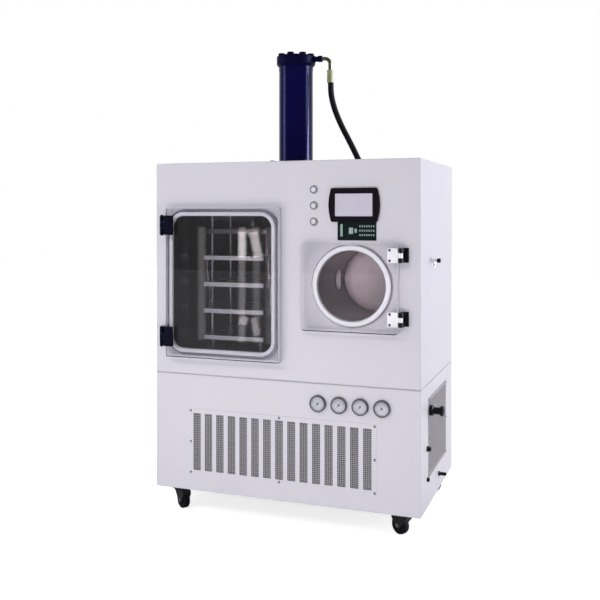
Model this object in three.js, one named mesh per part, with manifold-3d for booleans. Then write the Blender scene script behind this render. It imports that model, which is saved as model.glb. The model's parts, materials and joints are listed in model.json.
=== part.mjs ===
// Pilot-scale freeze dryer with a stoppering press: a two-part sheet-metal cabinet on casters, a shelf
// chamber and a round cold trap behind clear doors, and a hydraulic ram on top.
// Millimetres, +Z up, +Y towards the back. The model stands on z = 0, centred on its own outline.
import * as THREE from "three";
import { mergeVertices } from "three/addons/utils/BufferGeometryUtils.js";
import { RoundedBoxGeometry } from "three/addons/geometries/RoundedBoxGeometry.js";
import Module from "manifold-3d";

const wasm = await Module();
wasm.setup();

// ---------------------------------------------------------------- driving sizes
// The cabinet's own frame: x = 0 is its middle, y = 0 its front face, z = 0 its bottom edge.

// Cabinet
const width = 1130;
const depth = 690;
const lowerHeight = 480.5;
const upperHeight = 876.5;
const seamGap = 3;
const seamInset = 8;
const sheet = 2;
const edgeRadius = 3.5;
const returnFlange = 25;
const seatGap = 0.3;

const left = -width / 2;
const right = width / 2;
const back = depth - sheet;
const seamTop = lowerHeight + seamGap;
const top = seamTop + upperHeight;

// Drying chamber
const chamberWidth = 440;
const chamberHeight = 546;
const chamberRadius = 48;
const chamberDepth = 585;
const chamberWall = 3;
const chamberX = left + 313;
const chamberZ = seamTop + 383;
const flangeWidth = 28;
const flangeThickness = 8;
const gasketWidth = 16;
const gasketThickness = 12;

// Chamber door
const doorWidth = chamberWidth + 70;
const doorHeight = chamberHeight + 74;
const doorThickness = 25;
const doorShift = 8;
const doorRadius = 10;
const hingeHeight = 80;
const hingeReach = 38;
const hingeInset = 58;
const leafThickness = 12;
const knuckleRadius = 9;
const hingePinRadius = 5.5;
const hingeStripThickness = 6;
const hingeOffset = 13;
const pinClearance = 0.4;

// Cold trap
const trapRadius = 135;
const trapDepth = 385;
const trapWall = 3;
const trapX = right - 268;
const trapFlange = 28;
const trapTop = seamTop + 550;
const trapZ = trapTop - trapRadius - trapFlange;
const trapGasketInner = trapRadius + 3;
const trapGasketOuter = trapRadius + 22;
const trapGasketThickness = 10;
const trapDoorWidth = 2 * trapRadius + 124;
const trapDoorHeight = 2 * trapRadius + 74;
const trapDoorThickness = 20;
const trapDoorShift = -7;
const trapDoorDrop = 8;
const trapDoorRadius = 18;
const trapLeafWidth = 41;
const trapLeafHeight = 56;
const trapLeafPitch = trapDoorHeight - 102;
const trapLeafThickness = 3;
const trapHingeOffset = 10;
const trapKnuckleRadius = 8;
const trapPinRadius = 4;
const ductRadius = 48;
const ductY = 240;

// Shelf stack and press
const shelfWidth = 280;
const shelfDepth = 440;
const shelfThickness = 18;
const shelfStandoff = 22.5;
const shelfLevels = 4;
const topRoom = 73.5;
const shelfPitch = (chamberHeight - shelfStandoff - topRoom) / shelfLevels;
const pressPlateWidth = 236;
const pressPlateThickness = 20;
const pressTravel = 150;
const movingShelves = shelfLevels - 1;
const stackY = 320;
const postRadius = 8;
const postOffsetX = 16;
const postOffsetY = 95;
const earRadius = 15;
const hangerWidth = 18;
const hangerThickness = 3;
const hangerPitch = 24;
const hangerFirstY = 190;
const studRadius = 4;
const pushRodRadius = 22;
const glandHeight = 12;

// Hydraulic ram
const ramX = chamberX + 198;
const barrelRadius = 75;
const barrelWall = 14.7;
const boreRadius = barrelRadius - barrelWall;
const barrelHeight = 430;
const ramFlange = 2 * barrelRadius + 50;
const ramFlangeThickness = 12;
const pistonRodRadius = 25;
const headRadius = barrelRadius + 9;
const headHeight = 46;
const headBolts = 8;
const headBoltRadius = 15;
const headBoltHeight = 9;
const headBoltCircle = headRadius - 16;
const yokeWidth = 90;
const yokeThickness = 30;
const yokeDrop = 22;

// Hydraulic hose: its route is chosen by hand, in the cabinet's frame, at the ram's own depth
const hoseRadius = 12.5;
const ferruleX = ramX + 158;
const ferruleBottom = top + 355;
const ferruleHeight = 55;
const bendRadius = 25;
const pipeRadius = 8;
const hoseEnd = [232.6, 1374.2];
const hosePoints = [
  [106, 1714.7], [106, 1700], [106.3, 1685], [107.6, 1667], [111, 1646], [116.8, 1622], [124.5, 1597],
  [134, 1572], [145, 1547], [157.2, 1521], [170.5, 1495.5], [184.5, 1469.5], [199, 1442], [213.4, 1413.6],
  hoseEnd,
];
const bootTilt = THREE.MathUtils.degToRad(26);
const bootLength = 16;

// Controls and gauges
const screenX = right - 260.5;
const screenZ = top - 177;
const bezelWidth = 187;
const bezelHeight = 132;
const bezelBulge = 9;
const bezelThickness = 12;
const displayWidth = 150;
const displayHeight = 88;
const terminalWidth = 155;
const terminalHeight = 71;
const terminalX = right - 250;
const buttonX = right - 426;
const buttonTopZ = top - 116;
const buttonPitch = 63;
const buttonRadius = 9.7;
const buttonRingRadius = 16.5;
const buttonRingHeight = 3;
const buttonTravel = 3;
const gaugeRadius = 33;
const gaugePitch = 86;
const gaugeLastX = right - 150;
const gaugeZ = lowerHeight - 77;
const gaugeCount = 4;

// Front grille, side vent and rear louvres
const grilleX = -8;
const grilleZ = 204;
const grilleWidth = 805;
const grilleHeight = 274;
const grilleSheet = 1.5;
const grilleLap = 12;
const slotCount = 15;
const slotPitch = 52.1;
const slotWidth = 33;
const slotHeight = 235.5;
const ventY = [143, 525];
const ventZ = [111, 425];
const ventLap = 8;
const louvreWidth = 230;
const louvreHeight = 9;
const louvrePitch = 30;
const louvreRows = 7;

// Ports on the right-hand side
const vacuumPortY = 166;
const vacuumPortZ = 373;
const vacuumPortReach = 55;
const vacuumPortRadius = 12.5;
const glandY = 118;
const glandZ = 233;
const drainY = 358;
const drainZ = 67;
const valveY = 185;
const valveZ = seamTop + 480;

// Casters and base
const casterHeight = 100;
const casterInsetX = 75;
const casterInsetY = 75;
const casterPad = [92, 76, 6];
const wheelRadius = 37.5;
const wheelWidth = 26;
const wheelSides = 16;
const casterTrail = 28;
const axleRadius = 5;
const casterAngles = { front_left: -35, front_right: 150, rear_left: 100, rear_right: 70 };
const basePlate = 3;

// Refrigeration
const coilWidth = 410;
const coilHeight = 330;
const coilDepth = 60;
const coilY = 62;
const fanRadius = 126;
const fanBlades = 5;
const compressorRadius = 97;
const compressorX = right - 235;
const compressorY = 430;

// ---------------------------------------------------------------- solids
const SMOOTH = 24;
const ROUND = 10;

// A closed three.js geometry as a manifold solid with its faces pointing out.
function toSolid(geometry) {
  const bare = geometry.clone();
  bare.deleteAttribute("normal");
  bare.deleteAttribute("uv");
  const merged = mergeVertices(bare, 1e-4);
  const triVerts = new Uint32Array(merged.index.array);
  const vertProperties = merged.attributes.position.array;
  const made = new wasm.Manifold(new wasm.Mesh({ numProp: 3, vertProperties, triVerts }));
  if (made.volume() >= 0) return made;
  triVerts.reverse();
  return new wasm.Manifold(new wasm.Mesh({ numProp: 3, vertProperties, triVerts }));
}

function toGeometry(solid) {
  const mesh = solid.getMesh();
  const geometry = new THREE.BufferGeometry();
  geometry.setAttribute("position", new THREE.BufferAttribute(mesh.vertProperties, 3));
  geometry.setIndex(new THREE.BufferAttribute(mesh.triVerts, 1));
  return geometry;
}

function fuse(...geometries) {
  return toGeometry(geometries.map(toSolid).reduce((sum, next) => sum.add(next)));
}

function cut(base, ...tools) {
  return toGeometry(tools.map(toSolid).reduce((rest, tool) => rest.subtract(tool), toSolid(base)));
}

function box([x0, x1], [y0, y1], [z0, z1]) {
  const geometry = new THREE.BoxGeometry(x1 - x0, y1 - y0, z1 - z0);
  return geometry.translate((x0 + x1) / 2, (y0 + y1) / 2, (z0 + z1) / 2);
}

const AXES = {
  x: (geometry, [y, z]) => geometry.rotateZ(-Math.PI / 2).translate(0, y, z),
  y: (geometry, [x, z]) => geometry.translate(x, 0, z),
  z: (geometry, [x, y]) => geometry.rotateX(Math.PI / 2).translate(x, y, 0),
};

// A round bar along one axis, from one value on that axis to another, centred at the other two coordinates.
function bar(axis, radius, [from, to], centre, sides = ROUND) {
  const geometry = new THREE.CylinderGeometry(radius, radius, to - from, sides);
  return AXES[axis](geometry.translate(0, (from + to) / 2, 0), centre);
}

// A round bore around a bar of this radius: its flats clear the bar by at least the clearance.
function bore(axis, radius, clearance, span, centre, sides = ROUND) {
  return bar(axis, (radius + clearance) / Math.cos(Math.PI / sides), span, centre, sides);
}

// A turned piece: its profile is a list of [radius, height along the axis].
function turned(axis, profile, centre, sides = ROUND) {
  const points = profile.map(([r, h]) => new THREE.Vector2(r, h));
  return toGeometry(toSolid(AXES[axis](new THREE.LatheGeometry(points, sides), centre)));
}

function ring(axis, outer, inner, [from, to], centre, sides = ROUND) {
  const profile = [[inner, from], [outer, from], [outer, to], [inner, to], [inner, from]];
  return turned(axis, profile, centre, sides);
}

function roundedRect([u0, u1], [v0, v1], radius, Kind = THREE.Shape) {
  const shape = new Kind();
  shape.moveTo(u0 + radius, v0);
  shape.absarc(u1 - radius, v0 + radius, radius, -Math.PI / 2, 0);
  shape.absarc(u1 - radius, v1 - radius, radius, 0, Math.PI / 2);
  shape.absarc(u0 + radius, v1 - radius, radius, Math.PI / 2, Math.PI);
  shape.absarc(u0 + radius, v0 + radius, radius, Math.PI, 1.5 * Math.PI);
  shape.closePath();
  return shape;
}

const X = new THREE.Vector3(1, 0, 0);
const Y = new THREE.Vector3(0, 1, 0);
const Z = new THREE.Vector3(0, 0, 1);

function extrude(shape, length, curveSegments) {
  return new THREE.ExtrudeGeometry(shape, { depth: length, bevelEnabled: false, curveSegments });
}

// A shape drawn in x and z, standing between two depths.
function frontPlate(shape, [y0, y1], curveSegments = 4) {
  const turn = new THREE.Matrix4().makeBasis(X, Z, Y.clone().negate());
  return extrude(shape, y1 - y0, curveSegments).applyMatrix4(turn).translate(0, y1, 0);
}

// A shape drawn in y and z, standing between two values of x.
function sidePlate(shape, [x0, x1], curveSegments = 4) {
  const turn = new THREE.Matrix4().makeBasis(Y, Z, X);
  return extrude(shape, x1 - x0, curveSegments).applyMatrix4(turn).translate(x0, 0, 0);
}

// A shape drawn in x and y, lying between two heights.
function flatPlate(shape, [z0, z1], curveSegments = 4) {
  return extrude(shape, z1 - z0, curveSegments).translate(0, 0, z0);
}

function around(centre, size) {
  return [centre - size / 2, centre + size / 2];
}

function rect([u0, u1], [v0, v1], Kind = THREE.Shape) {
  const corners = [[u0, v0], [u1, v0], [u1, v1], [u0, v1]];
  return new Kind(corners.map(([u, v]) => new THREE.Vector2(u, v)));
}

function circle([u, v], radius) {
  return new THREE.Shape().absarc(u, v, radius, 0, 2 * Math.PI);
}

// ---------------------------------------------------------------- finishes
function finish(color, roughness, metalness) {
  return () => new THREE.MeshStandardMaterial({ color, roughness, metalness });
}

const whitePaint = finish(0xe2dfe6, 0.45, 0);
const stainless = finish(0xb9bcc2, 0.25, 1);
const brushed = finish(0xa9acb2, 0.4, 1);
const chrome = finish(0xdfe2e6, 0.12, 1);
const zinc = finish(0xa8a45c, 0.35, 1);
const bluePaint = finish(0x17125c, 0.2, 0);
const blackPlastic = finish(0x17171a, 0.5, 0);
const darkAnodised = finish(0x14162c, 0.4, 0.6);
const greyMesh = finish(0x757078, 0.5, 0.7);
const siliconeWhite = finish(0xe9e4ea, 0.6, 0);
const blackRubber = finish(0x121214, 0.8, 0);
const dialWhite = finish(0xefeef2, 0.4, 0);
const boardGreen = finish(0x10302b, 0.45, 0);
const blackSteel = finish(0x1b1b1e, 0.5, 0.5);
const aluminium = finish(0x9b9da3, 0.5, 1);

function clearAcrylic() {
  const material = finish(0xdfe8ea, 0.05, 0)();
  material.transparent = true;
  material.opacity = 0.35;
  return material;
}

// ---------------------------------------------------------------- scene graph
const machine = new THREE.Group();
const hingeX = chamberX + doorShift - doorWidth / 2 - hingeOffset;
const gasketFront = -flangeThickness - gasketThickness;
const doorFront = gasketFront - seatGap - doorThickness;
const doorAxisY = doorFront - 3;
const leafFront = doorFront - leafThickness;
const sideEnd = right + grilleSheet + vacuumPortReach;
machine.position.set(-(left + sideEnd) / 2, -(depth + leafFront) / 2, casterHeight);

function add(name, geometry, makeMaterial, parent = machine) {
  const mesh = new THREE.Mesh(geometry, makeMaterial());
  mesh.name = name;
  parent.add(mesh);
  return mesh;
}

function groupAt(x, y, z) {
  const group = new THREE.Group();
  group.position.set(x, y, z);
  machine.add(group);
  return group;
}

// ---------------------------------------------------------------- cabinet
// A folded sheet housing, closed in front, above and at its sides, open below and behind inside its return flanges.
function housing(z0, z1) {
  const block = new RoundedBoxGeometry(width, back, z1 - z0, 1, edgeRadius);
  block.translate(0, back / 2, (z0 + z1) / 2);
  const inX = [left + sheet, right - sheet];
  const throughX = [left + returnFlange, right - returnFlange];
  return cut(
    block,
    box(inX, [sheet, back - sheet], [z0 + sheet, z1 - sheet]),
    box(throughX, [returnFlange, back - returnFlange], [z0 - 1, z0 + 2 * sheet]),
    box(throughX, [back - 2 * sheet, back + 1], [z0 + returnFlange, z1 - returnFlange]),
  );
}

const throughFront = [-flangeThickness, 2 * sheet];
const bodyWidth = chamberWidth + 2 * chamberWall;
const bodyHeight = chamberHeight + 2 * chamberWall;
const bodyRadius = chamberRadius + chamberWall;

function buttonPlace(index) {
  return [buttonX, buttonTopZ - index * buttonPitch];
}

function upperCabinet() {
  const buttons = [0, 1, 2].map(buttonPlace);
  const rings = buttons.map((at) => bar("y", buttonRingRadius, [-buttonRingHeight, sheet], at, 16));
  const seam = cut(
    box([left + seamInset, right - seamInset], [seamInset, back - seamInset], [lowerHeight, seamTop + sheet]),
    box([left + returnFlange, right - returnFlange], [returnFlange, back - returnFlange], [lowerHeight - 1, seamTop + 5]),
  );
  const chamberHole = roundedRect(around(chamberX, bodyWidth + 2), around(chamberZ, bodyHeight + 2), bodyRadius + 1);
  return cut(
    fuse(housing(seamTop, top), seam, ...rings),
    frontPlate(chamberHole, throughFront, 3),
    bar("y", trapRadius + trapWall + 1, throughFront, [trapX, trapZ], SMOOTH),
    box(around(screenX, displayWidth + 12), throughFront, around(screenZ, displayHeight + 12)),
    ...buttons.map((at) => bore("y", buttonRadius, pinClearance, throughFront, at)),
    bar("z", pistonRodRadius + 18, [top - 2 * sheet, top + 1], [ramX, stackY], 16),
    bar("x", 5, [right - 2 * sheet, right + 1], [valveY, valveZ], 12),
  );
}

function lowerCabinet() {
  const gauges = Array.from({ length: gaugeCount }, (_, i) => [gaugeX(i), gaugeZ]);
  return cut(
    housing(0, lowerHeight),
    box(around(grilleX, grilleWidth - 2 * grilleLap), throughFront, around(grilleZ, grilleHeight - 2 * grilleLap)),
    box([right - 2 * sheet, right + 1], [ventY[0] + ventLap, ventY[1] - ventLap],
      [ventZ[0] + ventLap, ventZ[1] - ventLap]),
    box([-150, 150], [480, 620], [lowerHeight - 5, lowerHeight + 1]),
    ...gauges.map((at) => bar("y", gaugeRadius - 3, throughFront, at, 16)),
    bar("x", 5.5, [right - 2 * sheet, right + 1], [drainY, drainZ], 12),
    bar("x", 7, [right - 2 * sheet, right + 1], [glandY, glandZ], 12),
  );
}

function slottedGrille() {
  const slots = Array.from({ length: slotCount }, (_, i) => {
    const x = grilleX + (i - (slotCount - 1) / 2) * slotPitch;
    return box(around(x, slotWidth), [-grilleSheet - 1, 1], around(grilleZ, slotHeight));
  });
  return cut(box(around(grilleX, grilleWidth), [-grilleSheet, 0], around(grilleZ, grilleHeight)), ...slots);
}

function sideVent() {
  const plate = rect(ventY, ventZ);
  plate.holes.push(circle([vacuumPortY, vacuumPortZ], vacuumPortRadius + 1));
  return sidePlate(plate, [right, right + grilleSheet], 6);
}

function rearPanel() {
  const slots = [-1, 1].flatMap((column) => Array.from({ length: louvreRows }, (_, row) => {
    const slotX = around((column * width) / 4, louvreWidth);
    return box(slotX, [back - 1, depth + 1], around(120 + row * louvrePitch, louvreHeight));
  }));
  const outline = roundedRect([left + 6, right - 6], [8, top - 8], 4);
  return cut(frontPlate(outline, [back, depth], 1), ...slots);
}

function casterPlaces() {
  const xs = { left: left + casterInsetX, right: right - casterInsetX };
  const ys = { front: casterInsetY, rear: depth - casterInsetY };
  return Object.keys(casterAngles).map((name) => {
    const [row, side] = name.split("_");
    return { name, x: xs[side], y: ys[row], angle: THREE.MathUtils.degToRad(casterAngles[name]) };
  });
}

function baseTray() {
  const [padX, padY, padZ] = casterPad;
  const pads = casterPlaces().map(({ x, y }) => box(around(x, padX), around(y, padY), [sheet - padZ, sheet + 1]));
  const inside = sheet + 0.5;
  const tray = box([left + inside, right - inside], [inside, back - inside], [sheet, sheet + basePlate]);
  return fuse(tray, ...pads);
}

add("upper_cabinet", upperCabinet(), whitePaint);
add("lower_cabinet", lowerCabinet(), whitePaint);
add("rear_panel", rearPanel(), whitePaint);
add("base_tray", baseTray(), blackSteel);
add("front_grille", slottedGrille(), whitePaint);
add("side_vent", sideVent(), greyMesh);
const meshX = around(grilleX, grilleWidth - 2 * grilleLap - 1);
const meshZ = around(grilleZ, grilleHeight - 2 * grilleLap - 1);
add("grille_mesh", box(meshX, [0, 1], meshZ), greyMesh);

// ---------------------------------------------------------------- gauges and controls
function gaugeX(index) {
  return gaugeLastX - (gaugeCount - 1 - index) * gaugePitch;
}

const dialY = -9;
const bezelProfile = [
  [0, dialY], [gaugeRadius - 6, dialY], [gaugeRadius - 4, -14], [gaugeRadius, -12], [gaugeRadius, 0],
  [gaugeRadius - 3.6, 0], [gaugeRadius - 3.6, 34], [0, 34],
];

function gauge(at) {
  return fuse(turned("y", bezelProfile, at, 16), bar("y", 1.2, [dialY - 2.2, dialY + 1], at, 6));
}

function pointer() {
  const blade = new THREE.Shape();
  blade.moveTo(-1.3, -8);
  blade.lineTo(1.3, -8);
  blade.lineTo(1.6, -2.8);
  blade.absarc(0, 0, 3.2, -1.05, 1.2);
  blade.lineTo(0.3, gaugeRadius - 11);
  blade.lineTo(-0.3, gaugeRadius - 11);
  blade.absarc(0, 0, 3.2, Math.PI - 1.2, Math.PI + 1.05);
  blade.closePath();
  blade.holes.push(circle([0, 0], 1.9));
  const zeroMark = THREE.MathUtils.degToRad(-135);
  return frontPlate(blade, [dialY - 1.1, dialY - seatGap], 2).rotateY(zeroMark);
}

for (let i = 0; i < gaugeCount; i++) {
  add(`gauge_${i + 1}`, gauge([gaugeX(i), gaugeZ]), dialWhite);
  const needle = add(`gauge_pointer_${i + 1}`, pointer(), blackSteel);
  needle.position.set(gaugeX(i), 0, gaugeZ);
}

function touchScreen() {
  const [u0, u1] = around(screenX, bezelWidth);
  const [v0, v1] = around(screenZ, bezelHeight);
  const r = 8;
  const face = new THREE.Shape();
  face.moveTo(u0 + r, v0);
  face.lineTo(u1 - r, v0);
  face.quadraticCurveTo(u1, v0, u1 + 1, v0 + r);
  face.quadraticCurveTo(u1 + 2 * bezelBulge, screenZ, u1 + 1, v1 - r);
  face.quadraticCurveTo(u1, v1, u1 - r, v1);
  face.lineTo(u0 + r, v1);
  face.quadraticCurveTo(u0, v1, u0 - 1, v1 - r);
  face.quadraticCurveTo(u0 - 2 * bezelBulge, screenZ, u0 - 1, v0 + r);
  face.quadraticCurveTo(u0, v0, u0 + r, v0);
  const display = roundedRect(around(screenX, displayWidth), around(screenZ, displayHeight), 2);
  const rim = roundedRect(around(screenX, bezelWidth - 12), around(screenZ, bezelHeight - 16), 6);
  return cut(
    fuse(
      frontPlate(face, [-bezelThickness + 3, 0], 4),
      frontPlate(rim, [-bezelThickness, -bezelThickness + 4], 2),
      box(around(screenX, displayWidth + 8), [-1, 38], around(screenZ, displayHeight + 8)),
    ),
    frontPlate(display, [-bezelThickness - 1, -bezelThickness + 2.5], 1),
  );
}

function terminalBoard() {
  const boardTop = screenZ - bezelHeight / 2 - seatGap;
  const board = roundedRect(around(terminalX, terminalWidth), [boardTop - terminalHeight, boardTop], 2);
  return frontPlate(board, [-3, 0], 1);
}

const buttonFront = -buttonRingHeight - 4;
const buttonProfile = [
  [0, buttonFront], [buttonRadius - 1, buttonFront], [buttonRadius, buttonFront + 1], [buttonRadius, sheet + seatGap],
  [buttonRadius + 2.5, sheet + seatGap], [buttonRadius + 2.5, 20], [0, 20],
];

add("touch_screen", touchScreen(), blackPlastic);
add("terminal_board", terminalBoard(), boardGreen);
for (let i = 0; i < 3; i++) {
  add(`push_button_${i + 1}`, turned("y", buttonProfile, buttonPlace(i)), dialWhite);
}

// ---------------------------------------------------------------- drying chamber
const floorZ = chamberZ - chamberHeight / 2;
const roofZ = chamberZ + chamberHeight / 2;
const bottomShelfZ = floorZ + shelfStandoff + shelfThickness / 2;
const pressPlateZ = bottomShelfZ + (movingShelves + 1) * shelfPitch;
const closing = pressTravel / (movingShelves + 1);

function outlineAt(extra) {
  const w = chamberWidth + 2 * extra;
  const h = chamberHeight + 2 * extra;
  return roundedRect(around(chamberX, w), around(chamberZ, h), chamberRadius + extra);
}

function dryingChamber() {
  const roof = roofZ + chamberWall;
  const rod = [chamberX, stackY];
  return cut(
    fuse(
      frontPlate(outlineAt(chamberWall), [-flangeThickness, chamberDepth], 3),
      frontPlate(outlineAt(flangeWidth), [-flangeThickness, 0], 3),
      bar("z", pushRodRadius + 16, [roof - 1, roof + glandHeight], rod, ROUND),
    ),
    frontPlate(outlineAt(0), [-flangeThickness - 1, chamberDepth - chamberWall], 3),
    bore("z", pushRodRadius, pinClearance, [roofZ - 1, roof + glandHeight + 1], rod, 16),
    bar("x", ductRadius - trapWall, [chamberX, chamberX + chamberWidth], [ductY, trapZ], 14),
  );
}

function chamberGasket() {
  const outline = outlineAt(gasketWidth);
  const inner = outlineAt(1);
  outline.holes.push(inner);
  return frontPlate(outline, [gasketFront, -flangeThickness], 3);
}

add("drying_chamber", dryingChamber(), stainless);
add("chamber_gasket", chamberGasket(), siliconeWhite);

// ---------------------------------------------------------------- chamber door, hung on two block hinges
const hingeZ = [chamberZ - doorHeight / 2 + hingeInset + 27, chamberZ + doorHeight / 2 - hingeInset - 17];
const chamberDoor = groupAt(hingeX, doorAxisY, 0);
const doorLeft = hingeOffset;
const knuckleSpan = hingeHeight / 3;

function hingeLeaf(z) {
  const plateShape = roundedRect([-hingeReach / 2, hingeReach / 2], around(z, hingeHeight), 3);
  const blockX = doorLeft + hingeReach / 2 + 0.5;
  const block = frontPlate(plateShape, [leafFront - doorAxisY, doorFront - doorAxisY], 1).translate(blockX, 0, 0);
  const knuckle = around(z, knuckleSpan - 1);
  return cut(
    fuse(
      block,
      bar("z", knuckleRadius, knuckle, [0, 0], ROUND),
      box([0, doorLeft + 4], [leafFront - doorAxisY, doorFront - doorAxisY], knuckle),
    ),
    bore("z", hingePinRadius, pinClearance, around(z, hingeHeight), [0, 0], ROUND),
  );
}

// The fixed half: a long strip on the cabinet's front, with two lugs and a pin at each hinge.
function hingePost() {
  const stripZ = [hingeZ[0] - hingeHeight / 2, hingeZ[1] + hingeHeight / 2];
  const stripX = [hingeX - 16, hingeX + knuckleRadius - 0.5];
  const hinges = hingeZ.flatMap((z) => [
    bar("z", hingePinRadius, around(z, hingeHeight + 6), [hingeX, doorAxisY], ROUND),
    ...[-1, 1].map((way) => {
      const span = around(z + way * knuckleSpan, knuckleSpan - 1);
      return fuse(
        bar("z", knuckleRadius, span, [hingeX, doorAxisY], ROUND),
        box([hingeX - knuckleRadius, hingeX + knuckleRadius - 0.5], [doorAxisY, 0], span),
      );
    }),
  ]);
  return fuse(box(stripX, [-hingeStripThickness, 0], stripZ), ...hinges);
}

const doorOutline = roundedRect([doorLeft, doorLeft + doorWidth], around(chamberZ, doorHeight), doorRadius);
const doorSpan = [doorFront - doorAxisY, doorFront + doorThickness - doorAxisY];
add("chamber_door", frontPlate(doorOutline, doorSpan, 2), clearAcrylic, chamberDoor);
add("chamber_hinge_lower", hingeLeaf(hingeZ[0]), darkAnodised, chamberDoor);
add("chamber_hinge_upper", hingeLeaf(hingeZ[1]), darkAnodised, chamberDoor);
add("chamber_hinge_post", hingePost(), darkAnodised);

// ---------------------------------------------------------------- shelf stack
const postX = shelfWidth / 2 + postOffsetX;
const stackFront = stackY - shelfDepth / 2;
const stackBack = stackY + shelfDepth / 2;

function ears(z, thickness, halfWidth) {
  return [-1, 1].flatMap((side) => [-1, 1].map((end) => {
    const y = stackY + end * postOffsetY;
    const root = halfWidth - 5;
    const tip = postX + earRadius;
    const corners = [[root, -earRadius - 8], [tip, -earRadius], [tip, earRadius], [root, earRadius + 8]];
    const ear = new THREE.Shape(corners.map(([u, v]) => new THREE.Vector2(side * u, v)));
    return flatPlate(ear, around(z, thickness)).translate(chamberX, y, 0);
  }));
}

function postBores(z) {
  return [-1, 1].flatMap((side) => [-1, 1].map((end) => {
    const at = [chamberX + side * postX, stackY + end * postOffsetY];
    return bore("z", postRadius, pinClearance, around(z, 60), at, 8);
  }));
}

function plate(z, thickness, halfWidth) {
  const outline = roundedRect([chamberX - halfWidth, chamberX + halfWidth], [stackFront, stackBack], 8);
  return flatPlate(outline, around(z, thickness), 1);
}

// Slotted links welded to a plate's sides. They carry the plate below by its studs and let it rise towards this one.
function hangers(level, z, thickness, halfWidth) {
  const inner = shelfWidth / 2 + 0.6;
  const studZ = z - shelfPitch;
  const slotHalf = studRadius + 0.5;
  return [-1, 1].flatMap((side) => [-1, 1].map((end) => {
    const y = stackY + end * (hangerFirstY - level * hangerPitch);
    const strip = rect(around(y, hangerWidth), [studZ - 13, z + thickness / 2]);
    const slotZ = [studZ - slotHalf, studZ + closing + slotHalf];
    strip.holes.push(rect([y - slotHalf, y + slotHalf], slotZ, THREE.Path));
    const stripX = [inner, inner + hangerThickness];
    const lugX = [halfWidth - 4, inner + 1];
    const mirror = (span) => span.map((x) => chamberX + side * x).sort((a, b) => a - b);
    return fuse(
      sidePlate(strip, mirror(stripX), 3),
      box(mirror(lugX), around(y, hangerWidth - 2), around(z, thickness - 2)),
    );
  }));
}

// Headed studs that ride in the links of the plate above.
function studs(level, z) {
  return [-1, 1].flatMap((side) => [-1, 1].map((end) => {
    const at = [stackY + end * (hangerFirstY - level * hangerPitch), z];
    const mirror = (span) => span.map((x) => chamberX + side * x).sort((a, b) => a - b);
    const face = shelfWidth / 2;
    return fuse(
      bar("x", studRadius, mirror([face - 3, face + 6]), at, 6),
      bar("x", studRadius + 2.5, mirror([face + 4.4, face + 7]), at, 6),
    );
  }));
}

function shelfZ(level) {
  return pressPlateZ - level * shelfPitch;
}

function pressingPlate() {
  const half = pressPlateWidth / 2;
  const top2 = pressPlateZ + pressPlateThickness / 2;
  return cut(
    fuse(
      plate(pressPlateZ, pressPlateThickness, half),
      ...ears(pressPlateZ, pressPlateThickness, half),
      ...hangers(0, pressPlateZ, pressPlateThickness, half),
      ring("z", pushRodRadius + 15, pushRodRadius + 3, [top2 - 0.5, top2 + 12], [chamberX, stackY]),
    ),
    ...postBores(pressPlateZ),
  );
}

function movingShelf(level) {
  const z = shelfZ(level);
  const half = shelfWidth / 2;
  const links = level < movingShelves ? hangers(level, z, shelfThickness, half) : [];
  return cut(
    fuse(plate(z, shelfThickness, half), ...ears(z, shelfThickness, half), ...studs(level - 1, z), ...links),
    ...postBores(z),
  );
}

// The fixed bottom shelf on its feet, with the four guide posts that the others slide on.
function shelfFrame() {
  const half = shelfWidth / 2;
  const posts = [-1, 1].flatMap((side) => [-1, 1].map((end) => {
    const at = [chamberX + side * postX, stackY + end * postOffsetY];
    return bar("z", postRadius, [bottomShelfZ, roofZ - seatGap], at, 8);
  }));
  const feet = [-1, 1].flatMap((side) => [-1, 1].map((end) => {
    const at = [chamberX + side * (half - 30), stackY + end * (shelfDepth / 2 - 40)];
    return bar("z", 10, [floorZ, bottomShelfZ], at, 8);
  }));
  return fuse(
    plate(bottomShelfZ, shelfThickness, half), ...ears(bottomShelfZ, shelfThickness, half), ...posts, ...feet,
  );
}

add("pressing_plate", pressingPlate(), brushed);
for (let level = 1; level <= movingShelves; level++) add(`shelf_${level}`, movingShelf(level), brushed);
add("shelf_frame", shelfFrame(), brushed);

// ---------------------------------------------------------------- hydraulic ram and press
const barrelTop = top + barrelHeight;
const ramAt = [ramX, stackY];

function ramBarrel() {
  const flange = roundedRect(around(ramX, ramFlange), around(stackY, ramFlange), 14);
  const bolts = [-1, 1].flatMap((sx) => [-1, 1].map((sy) => {
    const at = [ramX + sx * (ramFlange / 2 - 20), stackY + sy * (ramFlange / 2 - 20)];
    return bar("z", 10, [top + ramFlangeThickness - 1, top + ramFlangeThickness + 7], at, 6);
  }));
  return cut(
    fuse(
      flatPlate(flange, [top, top + ramFlangeThickness], 2),
      bar("z", barrelRadius, [top + ramFlangeThickness - 1, barrelTop], ramAt, SMOOTH),
      bar("z", pistonRodRadius + 17, [top - 14, top + 1], ramAt, 16),
      ...bolts,
    ),
    bar("z", boreRadius, [top + ramFlangeThickness + 4, barrelTop + 1], ramAt, SMOOTH),
    bore("z", pistonRodRadius, pinClearance, [top - 15, top + ramFlangeThickness + 5], ramAt, 16),
  );
}

const spigotDepth = 14;
const headTop = barrelTop + headHeight;
const portZ = barrelTop + 30;

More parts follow.
